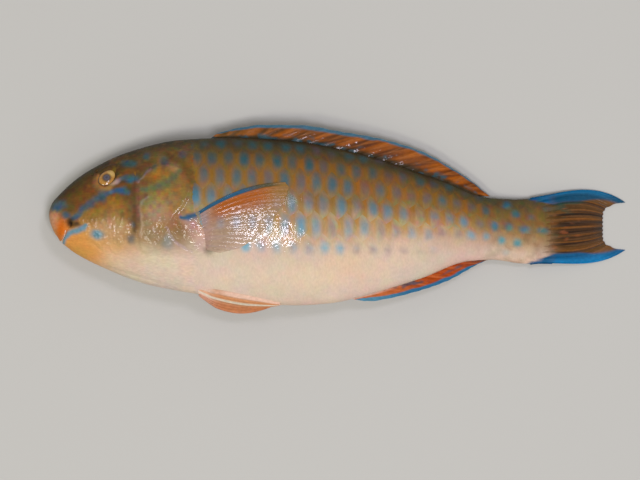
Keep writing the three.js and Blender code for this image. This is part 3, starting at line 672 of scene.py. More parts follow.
def scaled(tree, colour, scale):
    return node(tree, "VectorMath", "Vector", {0: colour, "Scale": scale}, operation="SCALE")


def bumped(tree, height, strength, distance):
    return node(tree, "Bump", "Normal", {"Height": height, "Strength": strength, "Distance": distance})


def new_material(name):
    material = bpy.data.materials.new(name)
    material.use_nodes = True
    return material, material.node_tree, material.node_tree.nodes["Principled BSDF"]


def wet_material(name, roughness=(0.42, 0.62), mottle=0.1, mottle_scale=500, hue=0.1, bump=0.5,
                 grain=(0.6, 1.6, 1.0), coat=0.02, wet_coat=0.7, coat_roughness=0.08, ripple=0.0004):
    """Wet skin: the piece's painted colour, varied and bumped by noise, under a clear coat of water."""
    material, tree, shader = new_material(name)
    paint = node(tree, "VertexColor", "Color", layer_name="tint")
    wet = node(tree, "Attribute", "Fac", attribute_name="wet")
    place = node(tree, "TexCoord", "Object")
    grained = node(tree, "Mapping", "Vector", {"Vector": place, "Scale": grain})
    tones = noise(tree, place, HUE_SCALE, out="Color")
    even = 1 - hue / 2
    vary = node(tree, "VectorMath", "Vector", {0: tones, 1: (hue, hue, hue), 2: (even, even, even)},
                operation="MULTIPLY_ADD")
    tinted = node(tree, "VectorMath", "Vector", {0: paint, 1: vary}, operation="MULTIPLY")
    blotch = remap(tree, noise(tree, grained, mottle_scale, 4.0), 1 - mottle, 1 + mottle)
    fine = noise(tree, place, BUMP_SCALE)
    ripples = noise(tree, grained, RIPPLE_SCALE, 0.0)
    feed(tree, shader, {
        "Base Color": scaled(tree, tinted, blotch),
        "Roughness": remap(tree, fine, *roughness),
        "Normal": bumped(tree, fine, bump, FINE_BUMP),
        "Specular IOR Level": 0.1,
        "Coat Weight": remap(tree, wet, coat, wet_coat, 0, 1),
        "Coat Roughness": coat_roughness,
        "Coat Normal": bumped(tree, ripples, wet, ripple)})
    return material


def speckled_material(name, colour, space, scale, detail, tones, roughness, coat=0.0, bump=0.0):
    """One colour that noise varies, bumped by the same noise."""
    material, tree, shader = new_material(name)
    fleck = noise(tree, node(tree, "TexCoord", space), scale, detail, 0.5)
    feed(tree, shader, {
        "Base Color": scaled(tree, colour, remap(tree, fleck, *tones)),
        "Roughness": roughness,
        "Normal": bumped(tree, fleck, bump, FINE_BUMP),
        "Coat Weight": coat})
    return material


def beak():
    """The tooth plates keep their solids' shape."""
    ivory = speckled_material("ivory", IVORY, "Object", 900, 3, (0.8, 1.1), 0.3, coat=0.3, bump=0.3)
    for name in ("upper_beak", "lower_beak"):
        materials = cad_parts[name].data.materials
        materials.clear()
        materials.append(ivory)


# The left pectoral fin's outline, which the folded right one shares.
PECTORAL_TIPS = np.array([[174.8, 22.6], [172.5, 13], [166.8, 2], [160, -8], [150.8, -17.5], [139, -24.5],
                          [124, -28]])
PECTORAL_ROOT = np.array([[104.5, -1.5], [113, -25.5]])
UNDER_TURN = 30
UNDER_PIVOT = (109, -13)


def pectoral_point(u, v):
    """The outline in the side view. The first ray is a little shorter than the next."""
    at = np.linspace(0, 1, len(PECTORAL_TIPS))
    far = v * (1 - 0.05 * np.exp(-(u / 0.03) ** 2))
    bulge = 6.6 * 4 * far * (1 - far) * (1 - u) ** 1.5
    x, y = (mix(mix(*PECTORAL_ROOT[:, k], u), np.interp(u, at, PECTORAL_TIPS[:, k]), far) for k in range(2))
    return x, y + bulge


def under_fin_point(u, v):
    x, y = pectoral_point(u, v)
    dx, dy = turned(x - UNDER_PIVOT[0], y - UNDER_PIVOT[1], UNDER_TURN)
    return UNDER_PIVOT[0] + dx, UNDER_PIVOT[1] + dy


def under_fin_outline():
    ring = [(u, 0) for u in np.linspace(0, 1, 5)] + [(1, v) for v in np.linspace(0.2, 1, 5)]
    ring += [(u, 1) for u in np.linspace(0.9, 0, 9)] + [(0, v) for v in np.linspace(0.8, 0.2, 4)]
    return [tuple(float(c) for c in under_fin_point(u, v)) for u, v in ring]


# The skin: one seamless surface from the snout to the root of the tail fin.
RING = 360
NOSE_END = 16
HEAD_END = 118
HEAD_STEP = 0.62
TRUNK_STEP = 1.9
RELIEF_END = 125
SKIN_FLOOR = 0.55
SCALED_SINK = 0.3
POCKET_ROOF = 2.3
NEAR_FLOOR = 4
UNDER_OUTLINE = under_fin_outline()
UNDER_BOX = ((95, 195), (-55, 15))


def floor_under(x, y):
    """The level that the underside is pressed to. It rises over the folded right pectoral fin."""
    (west, east), (south, north) = UNDER_BOX
    near = (x > west) & (x < east) & (y > south) & (y < north)
    level = np.full(np.shape(x), SKIN_FLOOR)
    within = inside(x[near], y[near], UNDER_OUTLINE)
    level[near] += (POCKET_ROOF - SKIN_FLOOR) * smooth(within, -1.5, 0.2)
    return level


def skin():
    stations = np.concatenate([np.linspace(0.12, math.sqrt(NOSE_END), 34) ** 2,
                               np.arange(NOSE_END + 0.6, HEAD_END, HEAD_STEP),
                               np.arange(HEAD_END + 1, BODY_END - 1, TRUNK_STEP), [BODY_END]])
    angles = np.linspace(0, 2 * math.pi, RING, endpoint=False)
    x = np.repeat(stations[:, None], RING, axis=1)
    free = free_skin(x, angles[None, :], -SCALED_SINK * smooth(x, 96, 112))
    relief = np.zeros(x.shape)
    near = x < RELIEF_END
    relief[near] = head_relief(free[near])
    relief -= 1.3 * spot(free[..., 0], free[..., 1], VENT, (2.4, 1.6), 0, 1)
    points = free + grid_normals(free, closed=True) * relief[..., None]
    z = points[..., 2]
    low = z < NEAR_FLOOR
    z[low] = pressed(z[low], floor_under(points[..., 0][low], points[..., 1][low]))
    tint = head_colour(free)
    tip = free_skin(np.array([0.0]), np.array([0.0]))
    end = np.array([[BODY_END + 0.4, widest(BODY_END), lie(BODY_END)]])
    count = len(stations)
    j = np.arange(RING)
    after = (j + 1) % RING
    last = (count - 1) * RING
    nose_fan = np.stack([0 * j + count * RING, after, j], axis=1)
    tail_fan = np.stack([0 * j + count * RING + 1, last + j, last + after], axis=1)
    piece = build_mesh("skin", [points, tip, end], [quads(count, RING, closed=True), nose_fan, tail_fan],
                       [tint, tint[0, :1], tint[-1, :1]])
    finish_piece(piece, SKIN_MATERIAL, "head_skin",
                 "head", "lower_jaw", "upper_lip", "lower_lip", "gill_cover_left", "gill_cover_right",
                 "torso", "tail", "tail_stalk")


# Scales: plates in rows along the body that overlap towards the tail.
SCALE_PITCH = 11.55
STALK_PITCH = 10.5
ROWS = [
    # share of the girth on the trunk, the same on the stalk, first x, staggered
    (0.0, 0.0, 64, False),
    (0.096, -0.12, 62, True),
    (0.19, 0.06, 72, False),
    (0.285, 0.25, 104, True),
    (0.395, 0.446, 107, False),
    (0.51, 0.62, 110, True),
    (0.625, 0.8, 114, False),
    (0.735, 0.97, 98, True),
    (0.84, 1.14, 92, False),
    (0.94, 1.3, 84, True),
]
ROW_HALF = 0.07
STALK_ROW_HALF = 0.108
ROWS_SHIFT = (205, 335)
LAST_SCALE = 361
NAPE_END = 112
ROWS_SEEN = (0.035, 0.975)
SCALE_ACROSS = 13
SCALE_ALONG = 11
SCALE_THICK = 0.09
SCALE_RISE = (0.03, 0.27)
PHASE_X = 199.5
SCALE_FRONT = 1.05
SCALE_HIND = 0.52
SPOTTED_TO_ROW = 6

# Half the height of the spot in each row, on the trunk.
SPOT_TALL = [2.4, 3.6, 4.6, 5.6, 6, 6.2, 3.4, 2.6, 2.6, 2.6]


def row_share(row, x):
    return mix(row[0], row[1], smooth(x, *ROWS_SHIFT))


def row_half(x):
    return mix(ROW_HALF, STALK_ROW_HALF, smooth(x, *ROWS_SHIFT))


def scale_places():
    """Each scale's row, centre and pitch on one side, row by row."""
    places = []
    for number, row in enumerate(ROWS):
        x = PHASE_X + (SCALE_PITCH / 2 if row[3] else 0)
        while x - SCALE_PITCH > row[2]:
            x -= SCALE_PITCH
        while x < LAST_SCALE:
            pitch = mix(SCALE_PITCH, STALK_PITCH, smooth(x, 230, 320))
            if x < NAPE_END if number == 0 else ROWS_SEEN[0] < row_share(row, x) < ROWS_SEEN[1]:
                places.append((number, x, pitch))
            x += pitch
    return places


def scale_plate(row, x0, pitch):
    """One plate: a thin shell that rises towards its free hind edge."""
    v = np.sin(np.linspace(-math.pi / 2, math.pi / 2, SCALE_ACROSS))[None, :]
    u = np.linspace(0, 1, SCALE_ALONG)[:, None] ** 0.9
    grow = 1 + 0.04 * RNG.standard_normal()
    hind = SCALE_HIND * pitch * grow * (1 - 1.7 * v * v)
    front = -SCALE_FRONT * pitch + 0.46 * pitch * v * v
    s = mix(front, hind, u)
    x = x0 + s + 0.15 * RNG.standard_normal()
    half = row_half(x0) * (1 + 0.03 * RNG.standard_normal())
    across = half * 1.3 * v + 0 * s
    angle = angle_at(x, row_share(ROWS[row], x) + across)
    low = (1 - 0.5 * smooth(x0, 335, 360)) * mix(1, 0.55, smooth(row_share(ROWS[row], x0), 0.56, 0.72))
    climb = mix(*SCALE_RISE, (s / pitch + SCALE_FRONT) / (SCALE_FRONT + SCALE_HIND))
    lift = low * (climb - 0.08 * v * v) * (1 - 0.45 * u ** 14)
    flat, outer, inner = (free_skin(x, angle, rise - SCALED_SINK) for rise in (0, lift, lift - SCALE_THICK))
    return flat, outer, inner, s, v + 0 * s, across * np.interp(x0, GIRTH_X, HALF_GIRTH)


def bar_colour(x, depth, warmth):
    """The gold between the spots: darker towards the back, paler towards the belly."""
    rich = layers(grade((0.21, 0.075, 0.006), (0.28, 0.108, 0.007), smooth(depth, 0.05, 0.22)),
                  ((0.43, 0.225, 0.042), smooth(depth, 0.34, 0.56)))
    rich = rich * mix(np.array((0.8, 0.97, 1.1)), np.array((1.1, 0.98, 0.6)), warmth)
    return rich * grade((0.84, 1.04, 1.5), (1, 1, 1), smooth(x, 130, 190))


def spot_colour(flat, depth, strength):
    """Teal at the back, pale blue lower down, and mauve where a spot is weak."""
    tone = layers(grade((0.022, 0.075, 0.085), (0.045, 0.12, 0.155), smooth(depth, 0.08, 0.3)),
                  ((0.085, 0.22, 0.3), smooth(depth, 0.3, 0.45)),
                  ((0.16, 0.35, 0.43), smooth(depth, 0.45, 0.62)))
    tone = tone * grade((1, 1, 1), (0.6, 0.75, 0.75), smooth(flat[..., 0], 290, 335))
    mauve = np.array((0.13, 0.1, 0.14)) * (0.6 + depth[..., None])
    return layers(mauve, (tone, smooth(strength + 0.2 * lumps(flat, 4, 198), 0.4, 0.75)))


def scale_colour(row, flat, s, height, pitch, strength, warmth, shift):
    """The spot in the middle of a plate and the golden bar at its hind margin, over the flank's colour."""
    x = flat[..., 0]
    depth = np.clip(depth_at(x, flat[..., 1]), 0, 1)
    slim = smooth(x, 190, 300)
    tall = mix(SPOT_TALL[row], 2.6, slim) * mix(0.85, 1.1, strength)
    wide = mix(2.8, 2.7, slim) * mix(0.9, 1.1, strength)
    beside = np.abs(s - shift[0] + 0.6 * lumps(flat, 2.6, 190)) / wide
    above = np.abs(height - shift[1] + 1.1 * lumps(flat, 3, 195)) / tall
    spot_at = np.exp(-0.7 * (beside ** 2.6 + above ** 2.6) ** 1.1)
    bar = smooth(np.abs(s) / pitch, 0.2, 0.38) * np.exp(-((height / 13) ** 6))
    warm = smooth(depth, 0.03, 0.14) * fall(depth, 0.5, 0.66) * (1 - 0.75 * smooth(x, 295, 325))
    flame = 0.9 * (0.65 + 0.35 * lumps(flat, 5, 150))
    fade = fall(depth, 0.66, 0.8) * fall(x, 318, 322)
    return layers(head_colour(flat), (bar_colour(x, depth, warmth), flame * bar * warm),
                  (spot_colour(flat, depth, strength), strength * fade * spot_at))


def press_plate(points, level):
    z = points[..., 2]
    z[...] = np.where(z < NEAR_FLOOR, pressed(z, level), z)


def mirror_plate(flat, outer, inner, s, pitch):
    """Takes a plate over to the right side, where the floor presses it flat."""
    for grid in (flat, outer, inner):
        grid[..., 2] = 2 * lie(grid[..., 0]) - grid[..., 2]
    climb = SCALE_RISE[1] * (s / pitch + SCALE_FRONT) / (SCALE_FRONT + SCALE_HIND)
    level = floor_under(flat[..., 0], flat[..., 1]) - climb * 0.7
    press_plate(outer, level - 0.08)
    press_plate(inner, level + 0.02)


def scales(name, places, side):
    """Joins a run of scale plates in one piece."""
    points, tints, faces, uvs = [], [], [], []
    for row, x0, pitch in places:
        strength = mix(0.62, 0.34, smooth(x0, 150, 240)) + 0.5 * RNG.random()
        if row > SPOTTED_TO_ROW and x0 < 300:
            strength *= 0.3
        flat, outer, inner, s, v, height = scale_plate(row, x0, pitch)
        shift = RNG.uniform(-0.8, 0.8, 2)
        tint = scale_colour(row, flat, s, height, pitch, strength, RNG.random(), shift)
        if side < 0:
            mirror_plate(flat, outer, inner, s, pitch)
        faces += shell(SCALE_ALONG, SCALE_ACROSS, len(points) * SCALE_ALONG * SCALE_ACROSS, side < 0)
        points += [outer, inner]
        tints += [tint] * 2
        patch = np.stack([(x0 + s * 0.6) / TOTAL_LENGTH,
                          np.clip(row_share(ROWS[row], x0) + v * ROW_HALF * 0.5 + 0.02, 0, 1)], axis=-1)
        uvs += [patch] * 2
    finish_piece(build_mesh(name, points, faces, tints, uvs), SCALE_MATERIAL, "scaled_skin")


def all_scales():
    places = scale_places()
    for side, label in ((1, "left"), (-1, "right")):
        mine = [p for p in places if side > 0 or p[0] > 0]
        half = len(mine) // 2
        scales(f"scales_{label}_upper", mine[:half], side)
        scales(f"scales_{label}_lower", mine[half:], side)


# Fins: rays and membrane in one closed shell, every ray a ridge that forks on its way out.
RAY_STEPS = 12
THIN_EDGE = 0.12


def fin(node_name, rays, rows, place, ray_half, colour, membrane=0.16, web_short=0.02, fork=0.4, fold=0.0,
        on_floor=False):
    columns = (rays - 1) * RAY_STEPS + 1
    u = np.linspace(0, 1, columns)[:, None]
    ray = u * (rays - 1)
    off = ray - np.round(ray)
    v = np.linspace(0, 1, rows)[None, :]
    ridge = np.exp(-((np.abs(off) - 0.17 * smooth(v, fork, 0.9)) / 0.12) ** 2)
    vv = v * (1 - web_short * (1 - np.exp(-(off / 0.3) ** 2)))
    u = u + 0 * v
    middle = place(u, vv)
    normal = grid_normals(middle)
    normal *= np.where(normal[..., 2:] < 0, -1, 1)
    middle = middle + normal * (fold * np.cos(2 * math.pi * ray) * smooth(vv, 0.05, 0.5))[..., None]
    half = membrane + np.maximum(ray_half(vv, ray) - membrane, 0) * ridge
    joints = 0.06 * ridge * (0.5 + 0.5 * np.cos(2 * math.pi * vv * 16)) * smooth(vv, 0.25, 0.4)
    half = half - joints * np.minimum(half, 1)
    half = mix(half, np.minimum(half, THIN_EDGE), smooth(vv, 0.93, 1))
    top = middle + normal * half[..., None]
    foot = middle - normal * half[..., None]
    if on_floor:
        foot[..., 2] = np.maximum(foot[..., 2], 0.02)
        top[..., 2] = np.maximum(top[..., 2], foot[..., 2] + 2 * np.minimum(half, 0.4))
    tint = colour(u, vv, ridge, middle)
    up = np.cross(middle[1, 0] - middle[0, 0], middle[0, 1] - middle[0, 0])[2] > 0
    uv = np.stack([u, v + 0 * u], axis=-1) * (1, 0.48)
    piece = build_mesh(node_name + "_web", [top, foot], shell(columns, rows, flip=bool(up)), [tint, tint],
                       [uv, uv + (0, 0.5)])
    finish_piece(piece, FIN_MATERIAL, "fin", node_name)


def streaks(u, v, count, seed):
    """Soft streaks that follow the rays, from -1 to 1."""
    phase = np.random.default_rng(seed).random(4) * 6
    return (np.sin(count * u * 6.3 + phase[0] + 1.5 * v) * 0.5
            + np.sin(count * 2.7 * u * 6.3 + phase[1] - 2 * v) * 0.3
            + np.sin(7 * v + 3 * u * count * 0.2 + phase[2]) * 0.2)


DORSAL_MARGIN = through([(111, 55.4), (124, 59.4), (138, 62.7), (154, 64.8), (182, 64.6), (211, 60.1),
                         (240, 55), (270, 45.9), (291, 34.6), (306, 24.8), (321, 12.6)])


LONG_FIN_END = 303
LONG_FIN_REACH = 17.5


def long_fin(u, v, start, reach, slanted, edge, margin, sag):
    """A point of the dorsal or anal fin, whose rays slant back more after the first few."""
    root = mix(start, LONG_FIN_END, u)
    tip = root + mix(mix(*reach, smooth(u, 0, slanted)), LONG_FIN_REACH, smooth(u, 0.7, 1))
    x = mix(root, tip, v)
    return np.stack([x, mix(edge(root), margin(tip), v), lie(x) - sag * v * v], axis=-1)


def dorsal_place(u, v):
    return long_fin(u, v, 114, (8, 32), 0.3, lambda x: back(x) - 3, DORSAL_MARGIN, 3)


def dorsal_colour(u, v, ridge, at):
    x = at[..., 0]
    h = np.clip((at[..., 1] - back(x)) / np.maximum(DORSAL_MARGIN(x) - back(x), 1), 0, 1)
    aft = smooth(u, 0.3, 0.6)
    margin = smooth(h + 0.05 * lumps(at, 5, 165), mix(0.7, 0.84, aft), mix(0.84, 0.94, aft))
    return layers(
        grade((0.09, 0.038, 0.01), (0.09, 0.022, 0.003), smooth(u, 0.1, 0.6)),
        ((0.33, 0.085, 0.004), 0.4 + 0.7 * streaks(u, v, 9, 3)),
        ((0.12, 0.07, 0.022), 0.6 * fall(x, 122, 165)),
        (PITCH_OLIVE, 0.9 * fall(h, 0.04, 0.3)),
        (TEAL, 0.8 * blotches(at * (1, 1.4, 1), 6, 160, 0.05, 0.5) * fall(h, 0.2, 0.5)),
        ((0.38, 0.13, 0.03), 0.4 * ridge * smooth(h, 0.1, 0.4)),
        ((0.04, 0.13, 0.19), 0.95 * margin),
        (SKY, 0.5 * smooth(h, 0.96, 1)))


def dorsal_fin():
    fin("dorsal_fin", 19, 30, dorsal_place, lambda v, ray: mix(1.2, 0.4, v), dorsal_colour, fork=0.5,
        web_short=0.015, fold=0.12)


ANAL_MARGIN = through([(214, -62.6), (222, -62.6), (233, -63.4), (248, -61.2), (262, -57.8), (277, -53.4),
                       (291, -48), (302, -42), (312, -36.4), (321, -32.6)])


def anal_place(u, v):
    return long_fin(u, v, 214, (14, 24), 0.35, lambda x: 3 - belly(x), ANAL_MARGIN, 1.5)


def anal_colour(u, v, ridge, at):
    x = at[..., 0]
    h = np.clip((-belly(x) - at[..., 1]) / np.maximum(-belly(x) - ANAL_MARGIN(x), 1), 0, 1)
    # Painted shade in blotches between the fin and the belly.
    painted_shade = blotches(at * (1, 1.6, 1), 6, 210, 0, 0.45) * fall(h, 0.25, 0.5) * smooth(x, 238, 262)
    low = mix(0.3, 0.6, smooth(x, 226, 258))
    band = smooth(h + 0.09 * lumps(at, 6, 215), low, low + 0.14)
    return layers(
        grade((0.44, 0.12, 0.03), (0.34, 0.052, 0.004), smooth(x, 235, 280)),
        ((0.12, 0.045, 0.03), smooth(x, 295, 318)),
        ((0.5, 0.13, 0.03), 0.5 * smooth(streaks(u, v, 7, 5), -0.1, 0.7)),
        ((0.09, 0.065, 0.075), 0.95 * painted_shade),
        (PINK, 0.7 * fall(h, 0, 0.22) * fall(x, 225, 262)),
        (grade((0.05, 0.21, 0.31), (0.003, 0.12, 0.24), smooth(x, 235, 262)), 0.96 * band),
        (SKY, 0.3 * smooth(h, 0.92, 1) + 0.15 * ridge * band))


def anal_fin():
    fin("anal_fin", 13, 26, anal_place, lambda v, ray: mix(1.1, 0.4, v), anal_colour, fork=0.5, fold=0.12)


CAUDAL_ROOT_X = 350
CAUDAL_FORK_X = 403.6
CAUDAL_ROOT_Y = (12, -37)
CAUDAL_TIP_Y = (8.6, -26.2)
CAUDAL_BOWS = (8.2, -5.6)


def caudal_place(u, v):
    tip_x = mix(CAUDAL_FORK_X, TOTAL_LENGTH, np.abs(2 * u - 1) ** 6.5)
    even, late = 4 * v * (1 - v), 6.75 * v * v * (1 - v)
    bow = CAUDAL_BOWS[0] * (1 - u) ** 3 * mix(even, late, 0.6) + CAUDAL_BOWS[1] * u ** 3 * late
    x = mix(CAUDAL_ROOT_X, tip_x, v)
    return np.stack([x, mix(mix(*CAUDAL_ROOT_Y, u), mix(*CAUDAL_TIP_Y, u), v) + bow, lie(x)], axis=-1)


def caudal_web(u, v, ridge, at):
    """The brown middle of the tail fin."""
    from_middle = np.abs(2 * u - 1)
    return layers(
        grade((0.024, 0.01, 0.002), (0.13, 0.055, 0.006), from_middle ** 1.6),
        ((0.22, 0.075, 0.006), 0.15 + 0.6 * streaks(u, 0.4 * v, 9, 9)),
        ((0.008, 0.004, 0.002), 0.8 * smooth(streaks(u, 0.5 * v, 7, 11), 0.1, 0.6)),
        ((0.22, 0.11, 0.05), 0.2 * ridge * smooth(v, 0.2, 0.6)),
        ((0.03, 0.035, 0.03), 0.5 * smooth(v, 0.85, 1) * (1 - from_middle)),
        ((0.03, 0.055, 0.03), 0.8 * blotches(at * (1, 2.2, 1), 8, 130, 0.1, 0.6) * fall(v, 0.4, 0.65)),
        ((0.25, 0.07, 0.02), 0.6 * blotches(at * (1, 3, 1), 9, 140, 0.2, 0.6) * fall(v, 0.5, 0.8)))


def caudal_colour(u, v, ridge, at):
    x = at[..., 0]
    wide = 0.142 - 0.107 * smooth(v, 0.6, 1)
    clear = smooth(x, 362, 370)
    wedges = tail_wedges(np.minimum(x, BODY_END), at[..., 1]) * (1 - clear)
    rim = np.exp(-((u - wide - 0.02) / 0.016) ** 2) * clear * fall(v, 0.6, 0.8)
    bright = np.maximum(smooth(u, 0.89, 1), 0.5 * fall(u, 0.02, 0.06)) * fall(v, 0.75, 1)
    return layers(
        flank_colour(at),
        (caudal_web(u, v, ridge, at), smooth(x, 358, 376)),
        (BLUE, 0.97 * wedges),
        ((0.001, 0.055, 0.11), 0.98 * fall(u, wide - 0.02, wide + 0.02) * clear),
        ((0.001, 0.08, 0.19), 0.98 * smooth(u, 1 - wide - 0.02, 1 - wide + 0.02) * clear),
        ((0.012, 0.045, 0.03), 0.8 * rim),
        ((0.002, 0.2, 0.44), 0.7 * bright * clear))


def caudal_ray(v, ray):
    return mix(0.4, 1.5, (1 - v) ** 2) + np.where((ray < 0.6) | (ray > 11.4), 0.35, 0)


def caudal_fin():
    fin("caudal_fin", 13, 48, caudal_place, caudal_ray, caudal_colour, membrane=0.22, web_short=0.012,
        fork=0.35, on_floor=True)


def spots_through(colour, at):
    """The spots of the flank's rows as they show through the clear web."""
    x, y = at[..., 0], at[..., 1]
    for row in ROWS[4:6]:
        centre = free_skin(x, angle_at(x, row_share(row, x)))[..., 1]
        offset = PHASE_X + (SCALE_PITCH / 2 if row[3] else 0)
        s = np.mod(x - offset + SCALE_PITCH / 2, SCALE_PITCH) - SCALE_PITCH / 2
        seen = np.exp(-((s / 3) ** 2 + ((y - centre) / 6) ** 2) ** 1.4)
        colour = layers(colour, ((0.17, 0.25, 0.33), 0.5 * seen))
    return colour


def pectoral_colour(u, v, ridge, at):
    """Blue leading edge, orange upper part, and a clear web below that shows the flank's own tones."""
    web = layers(flank_colour(at) * 0.92, ((0.24, 0.145, 0.085), 0.6 - 0.4 * smooth(v, 0.5, 1)))
    upper = fall(u + 0.08 * v, 0.2, 0.5) * smooth(v, 0.1, 0.3) * (1 - 0.6 * smooth(v, 0.75, 1))
    wide = 0.065 * (1 - 0.6 * v)
    edge = fall(u, wide, wide + 0.02)
    return layers(
        spots_through(web, at),
        (LILAC, 0.15 * smooth(streaks(u, v, 5, 21), 0, 0.8)),
        ((0.4, 0.22, 0.2), 0.4 * fall(v, 0.1, 0.3)),
        ((0.33, 0.08, 0), 0.97 * upper),
        ((0.25, 0.14, 0.03), 0.8 * fall(u, 0.1, 0.4) * smooth(v, 0.65, 0.95)),
        ((0.34, 0.19, 0.12), 0.25 * ridge),
        ((0.045, 0.06, 0.03), 0.9 * edge * (1 - 0.9 * smooth(v, 0.8, 0.97))),
        ((0.014, 0.085, 0.16), 0.95 * edge * fall(v, 0.5, 0.75)))


def left_pectoral_place(u, v):
    x, y = pectoral_point(u, v)
    lift = mix(-1.4, 1.4, np.minimum(v * 5, 1)) - 0.85 * smooth(v, 0.4, 1)
    return np.stack([x, y, side_height(x, y, 1) + lift], axis=-1)


def left_pectoral_ray(v, ray):
    return mix(mix(0.62, 0.36, smooth(ray, 3, 7)), 0.3, np.sqrt(v))


def right_pectoral_place(u, v):
    x, y = under_fin_point(u, v)
    return np.stack([x, y, np.full(np.shape(x), 1.05)], axis=-1)


def pectoral_fins():
    fin("pectoral_fin_left", 15, 36, left_pectoral_place, left_pectoral_ray, pectoral_colour, membrane=0.24,
        web_short=0.012, fold=0.05)
    fin("pectoral_fin_right", 13, 30, right_pectoral_place, lambda v, ray: mix(0.9, 0.42, v),
        pectoral_colour, web_short=0.05)


PELVIC_FROM = 108
PELVIC_LENGTH = 60


def pelvic_colour(u, v, ridge, at):
    tone = layers(np.ones(u.shape + (3,)) * (0.46, 0.19, 0.07),
                  ((0.5, 0.29, 0.18), 0.4 + 0.3 * streaks(u, v, 3, 31)), (SALMON, 0.2 * ridge))
    return layers(flank_colour(at), (tone, smooth(v, 0.02, 0.3)))


def left_pelvic_colour(u, v, ridge, at):
    return layers(
        pelvic_colour(u, v, ridge, at),
        ((0.7, 0.48, 0.36), 0.85 * fall(u, 0.12, 0.4) * smooth(v, 0.15, 0.4)),
        ((0.6, 0.24, 0.08), 0.6 * spot(u, v, (0.42, 0.5), (0.14, 3))),
        ((0.66, 0.6, 0.46), 0.9 * smooth(u, 0.54, 0.62) * fall(u, 0.74, 0.84)),
        ((0.5, 0.2, 0.08), 0.5 * smooth(u, 0.94, 0.99)))


def right_pelvic_colour(u, v, ridge, at):
    return mix(pelvic_colour(u * 0.8, v, ridge, at), np.array((0.55, 0.17, 0.045)), 0.5)


def left_pelvic_place(u, v):
    x = PELVIC_FROM + PELVIC_LENGTH * v
    spread = np.sin(math.pi * np.minimum(0.12 + 0.88 * v, 1)) ** 0.7
    angle = np.radians(mix(162, 168, v) + mix(-10.5, 7.5, u) * spread)
    lift = mix(-1.2, 0.8, np.minimum(v * 6, 1)) + 2.5 * u * spread - 1.4 * fall(u, 0, 0.18)
    return free_skin(x, angle, lift)


def right_pelvic_place(u, v):
    x = PELVIC_FROM + (PELVIC_LENGTH + 2 - 3 * u) * v
    spread = np.sin(math.pi * np.minimum(0.08 + 0.92 * v, 1)) ** 0.8
    y = -belly(x) - mix(-1.5, 1.2, np.minimum(v * 5, 1)) - mix(-2.5, 8.2, u) * spread + 3.5 * v * v
    return np.stack([x, y, lie(x) - mix(3.2, 6.5, np.minimum(v * 4, 1)) - 1.2 * u * spread], axis=-1)


def pelvic_fins():
    """The last ray of each is the thickest."""
    for side, place, colour, thin in (("left", left_pelvic_place, left_pelvic_colour, 0.45),
                                      ("right", right_pelvic_place, right_pelvic_colour, 0.5)):
        fin("pelvic_fin_" + side, 6, 40, place, lambda v, ray: mix(np.where(ray > 4.5, 0.8, thin), 0.3, v),
            colour, fold=0.05)


# Eyes.
EYEBALL = (8.6, 6.3, 4.3)
EYE_SINK = 3.3
EYE_RINGS = 52
EYE_AROUND = 120


def eye_axes(side):
    """The eyeball's centre and the directions of its own axes."""
    x0, y0 = EYE
    middle = float(widest(x0))
    z0 = float(side_height(np.array(x0), np.array(y0), side))
    normal = np.array([0, (y0 - middle) / (float(back(x0)) - middle) ** 2,
                       (z0 - float(lie(x0))) / float(half_width(x0)) ** 2])
    normal /= np.linalg.norm(normal)
    east = np.array([1.0, 0, 0])
    return np.array([x0, y0, z0]) - EYE_SINK * normal, east, np.cross(normal, east) * side, normal


def eye_colour(q, angle, pupil):
    grain = np.sin(angle * 37 + 3 * np.sin(angle * 9))
    return layers(
        np.ones(q.shape + (3,)) * (0.34, 0.14, 0.02),
        ((0.46, 0.24, 0.05), 0.5 + 0.3 * grain),
        ((0.65, 0.48, 0.16), 0.6 * smooth(np.cos(angle - 0.8), 0.3, 1)),
        ((0.11, 0.06, 0.022), 0.85 * fall(pupil, 1.05, 1.6)),
        ((0.05, 0.03, 0.012), 0.9 * smooth(q, 0.8, 0.88)),
        ((0.06, 0.05, 0.065), fall(pupil, 0.8, 1.1)),
        ((0.11, 0.1, 0.12), 0.7 * np.exp(-((pupil - 0.55) / 0.2) ** 2)))


def eye(side, label):
    """A lens-shaped eyeball whose iris and pupil are painted in rings."""
    polar = np.linspace(0, math.pi, EYE_RINGS)[:, None]
    turn = np.linspace(0, 2 * math.pi, EYE_AROUND, endpoint=False)[None, :]
    lx, ly = turned(EYEBALL[0] * np.sin(polar) * np.cos(turn), EYEBALL[1] * np.sin(polar) * np.sin(turn),
                    -EYE_TURN)
    lz = EYEBALL[2] * np.cos(polar) + 0 * turn
    centre, east, north, normal = eye_axes(side)
    points = centre + lx[..., None] * east + ly[..., None] * north + lz[..., None] * normal
    q = np.where(lz > 0, np.sin(polar) + 0 * turn, 1)
    tone = eye_colour(q, turn + math.radians(EYE_TURN), np.hypot(lx + 0.8, ly + 0.9) / 2.6)
    faces = quads(EYE_RINGS, EYE_AROUND, closed=True, flip=side < 0)
    piece = build_mesh("eyeball_" + label, [points], [faces], [tone])
    finish_piece(piece, EYE_MATERIAL, "eye", "eye_" + label)


# Setting: floor, lights and camera.
FLOOR_HALF = 4.0


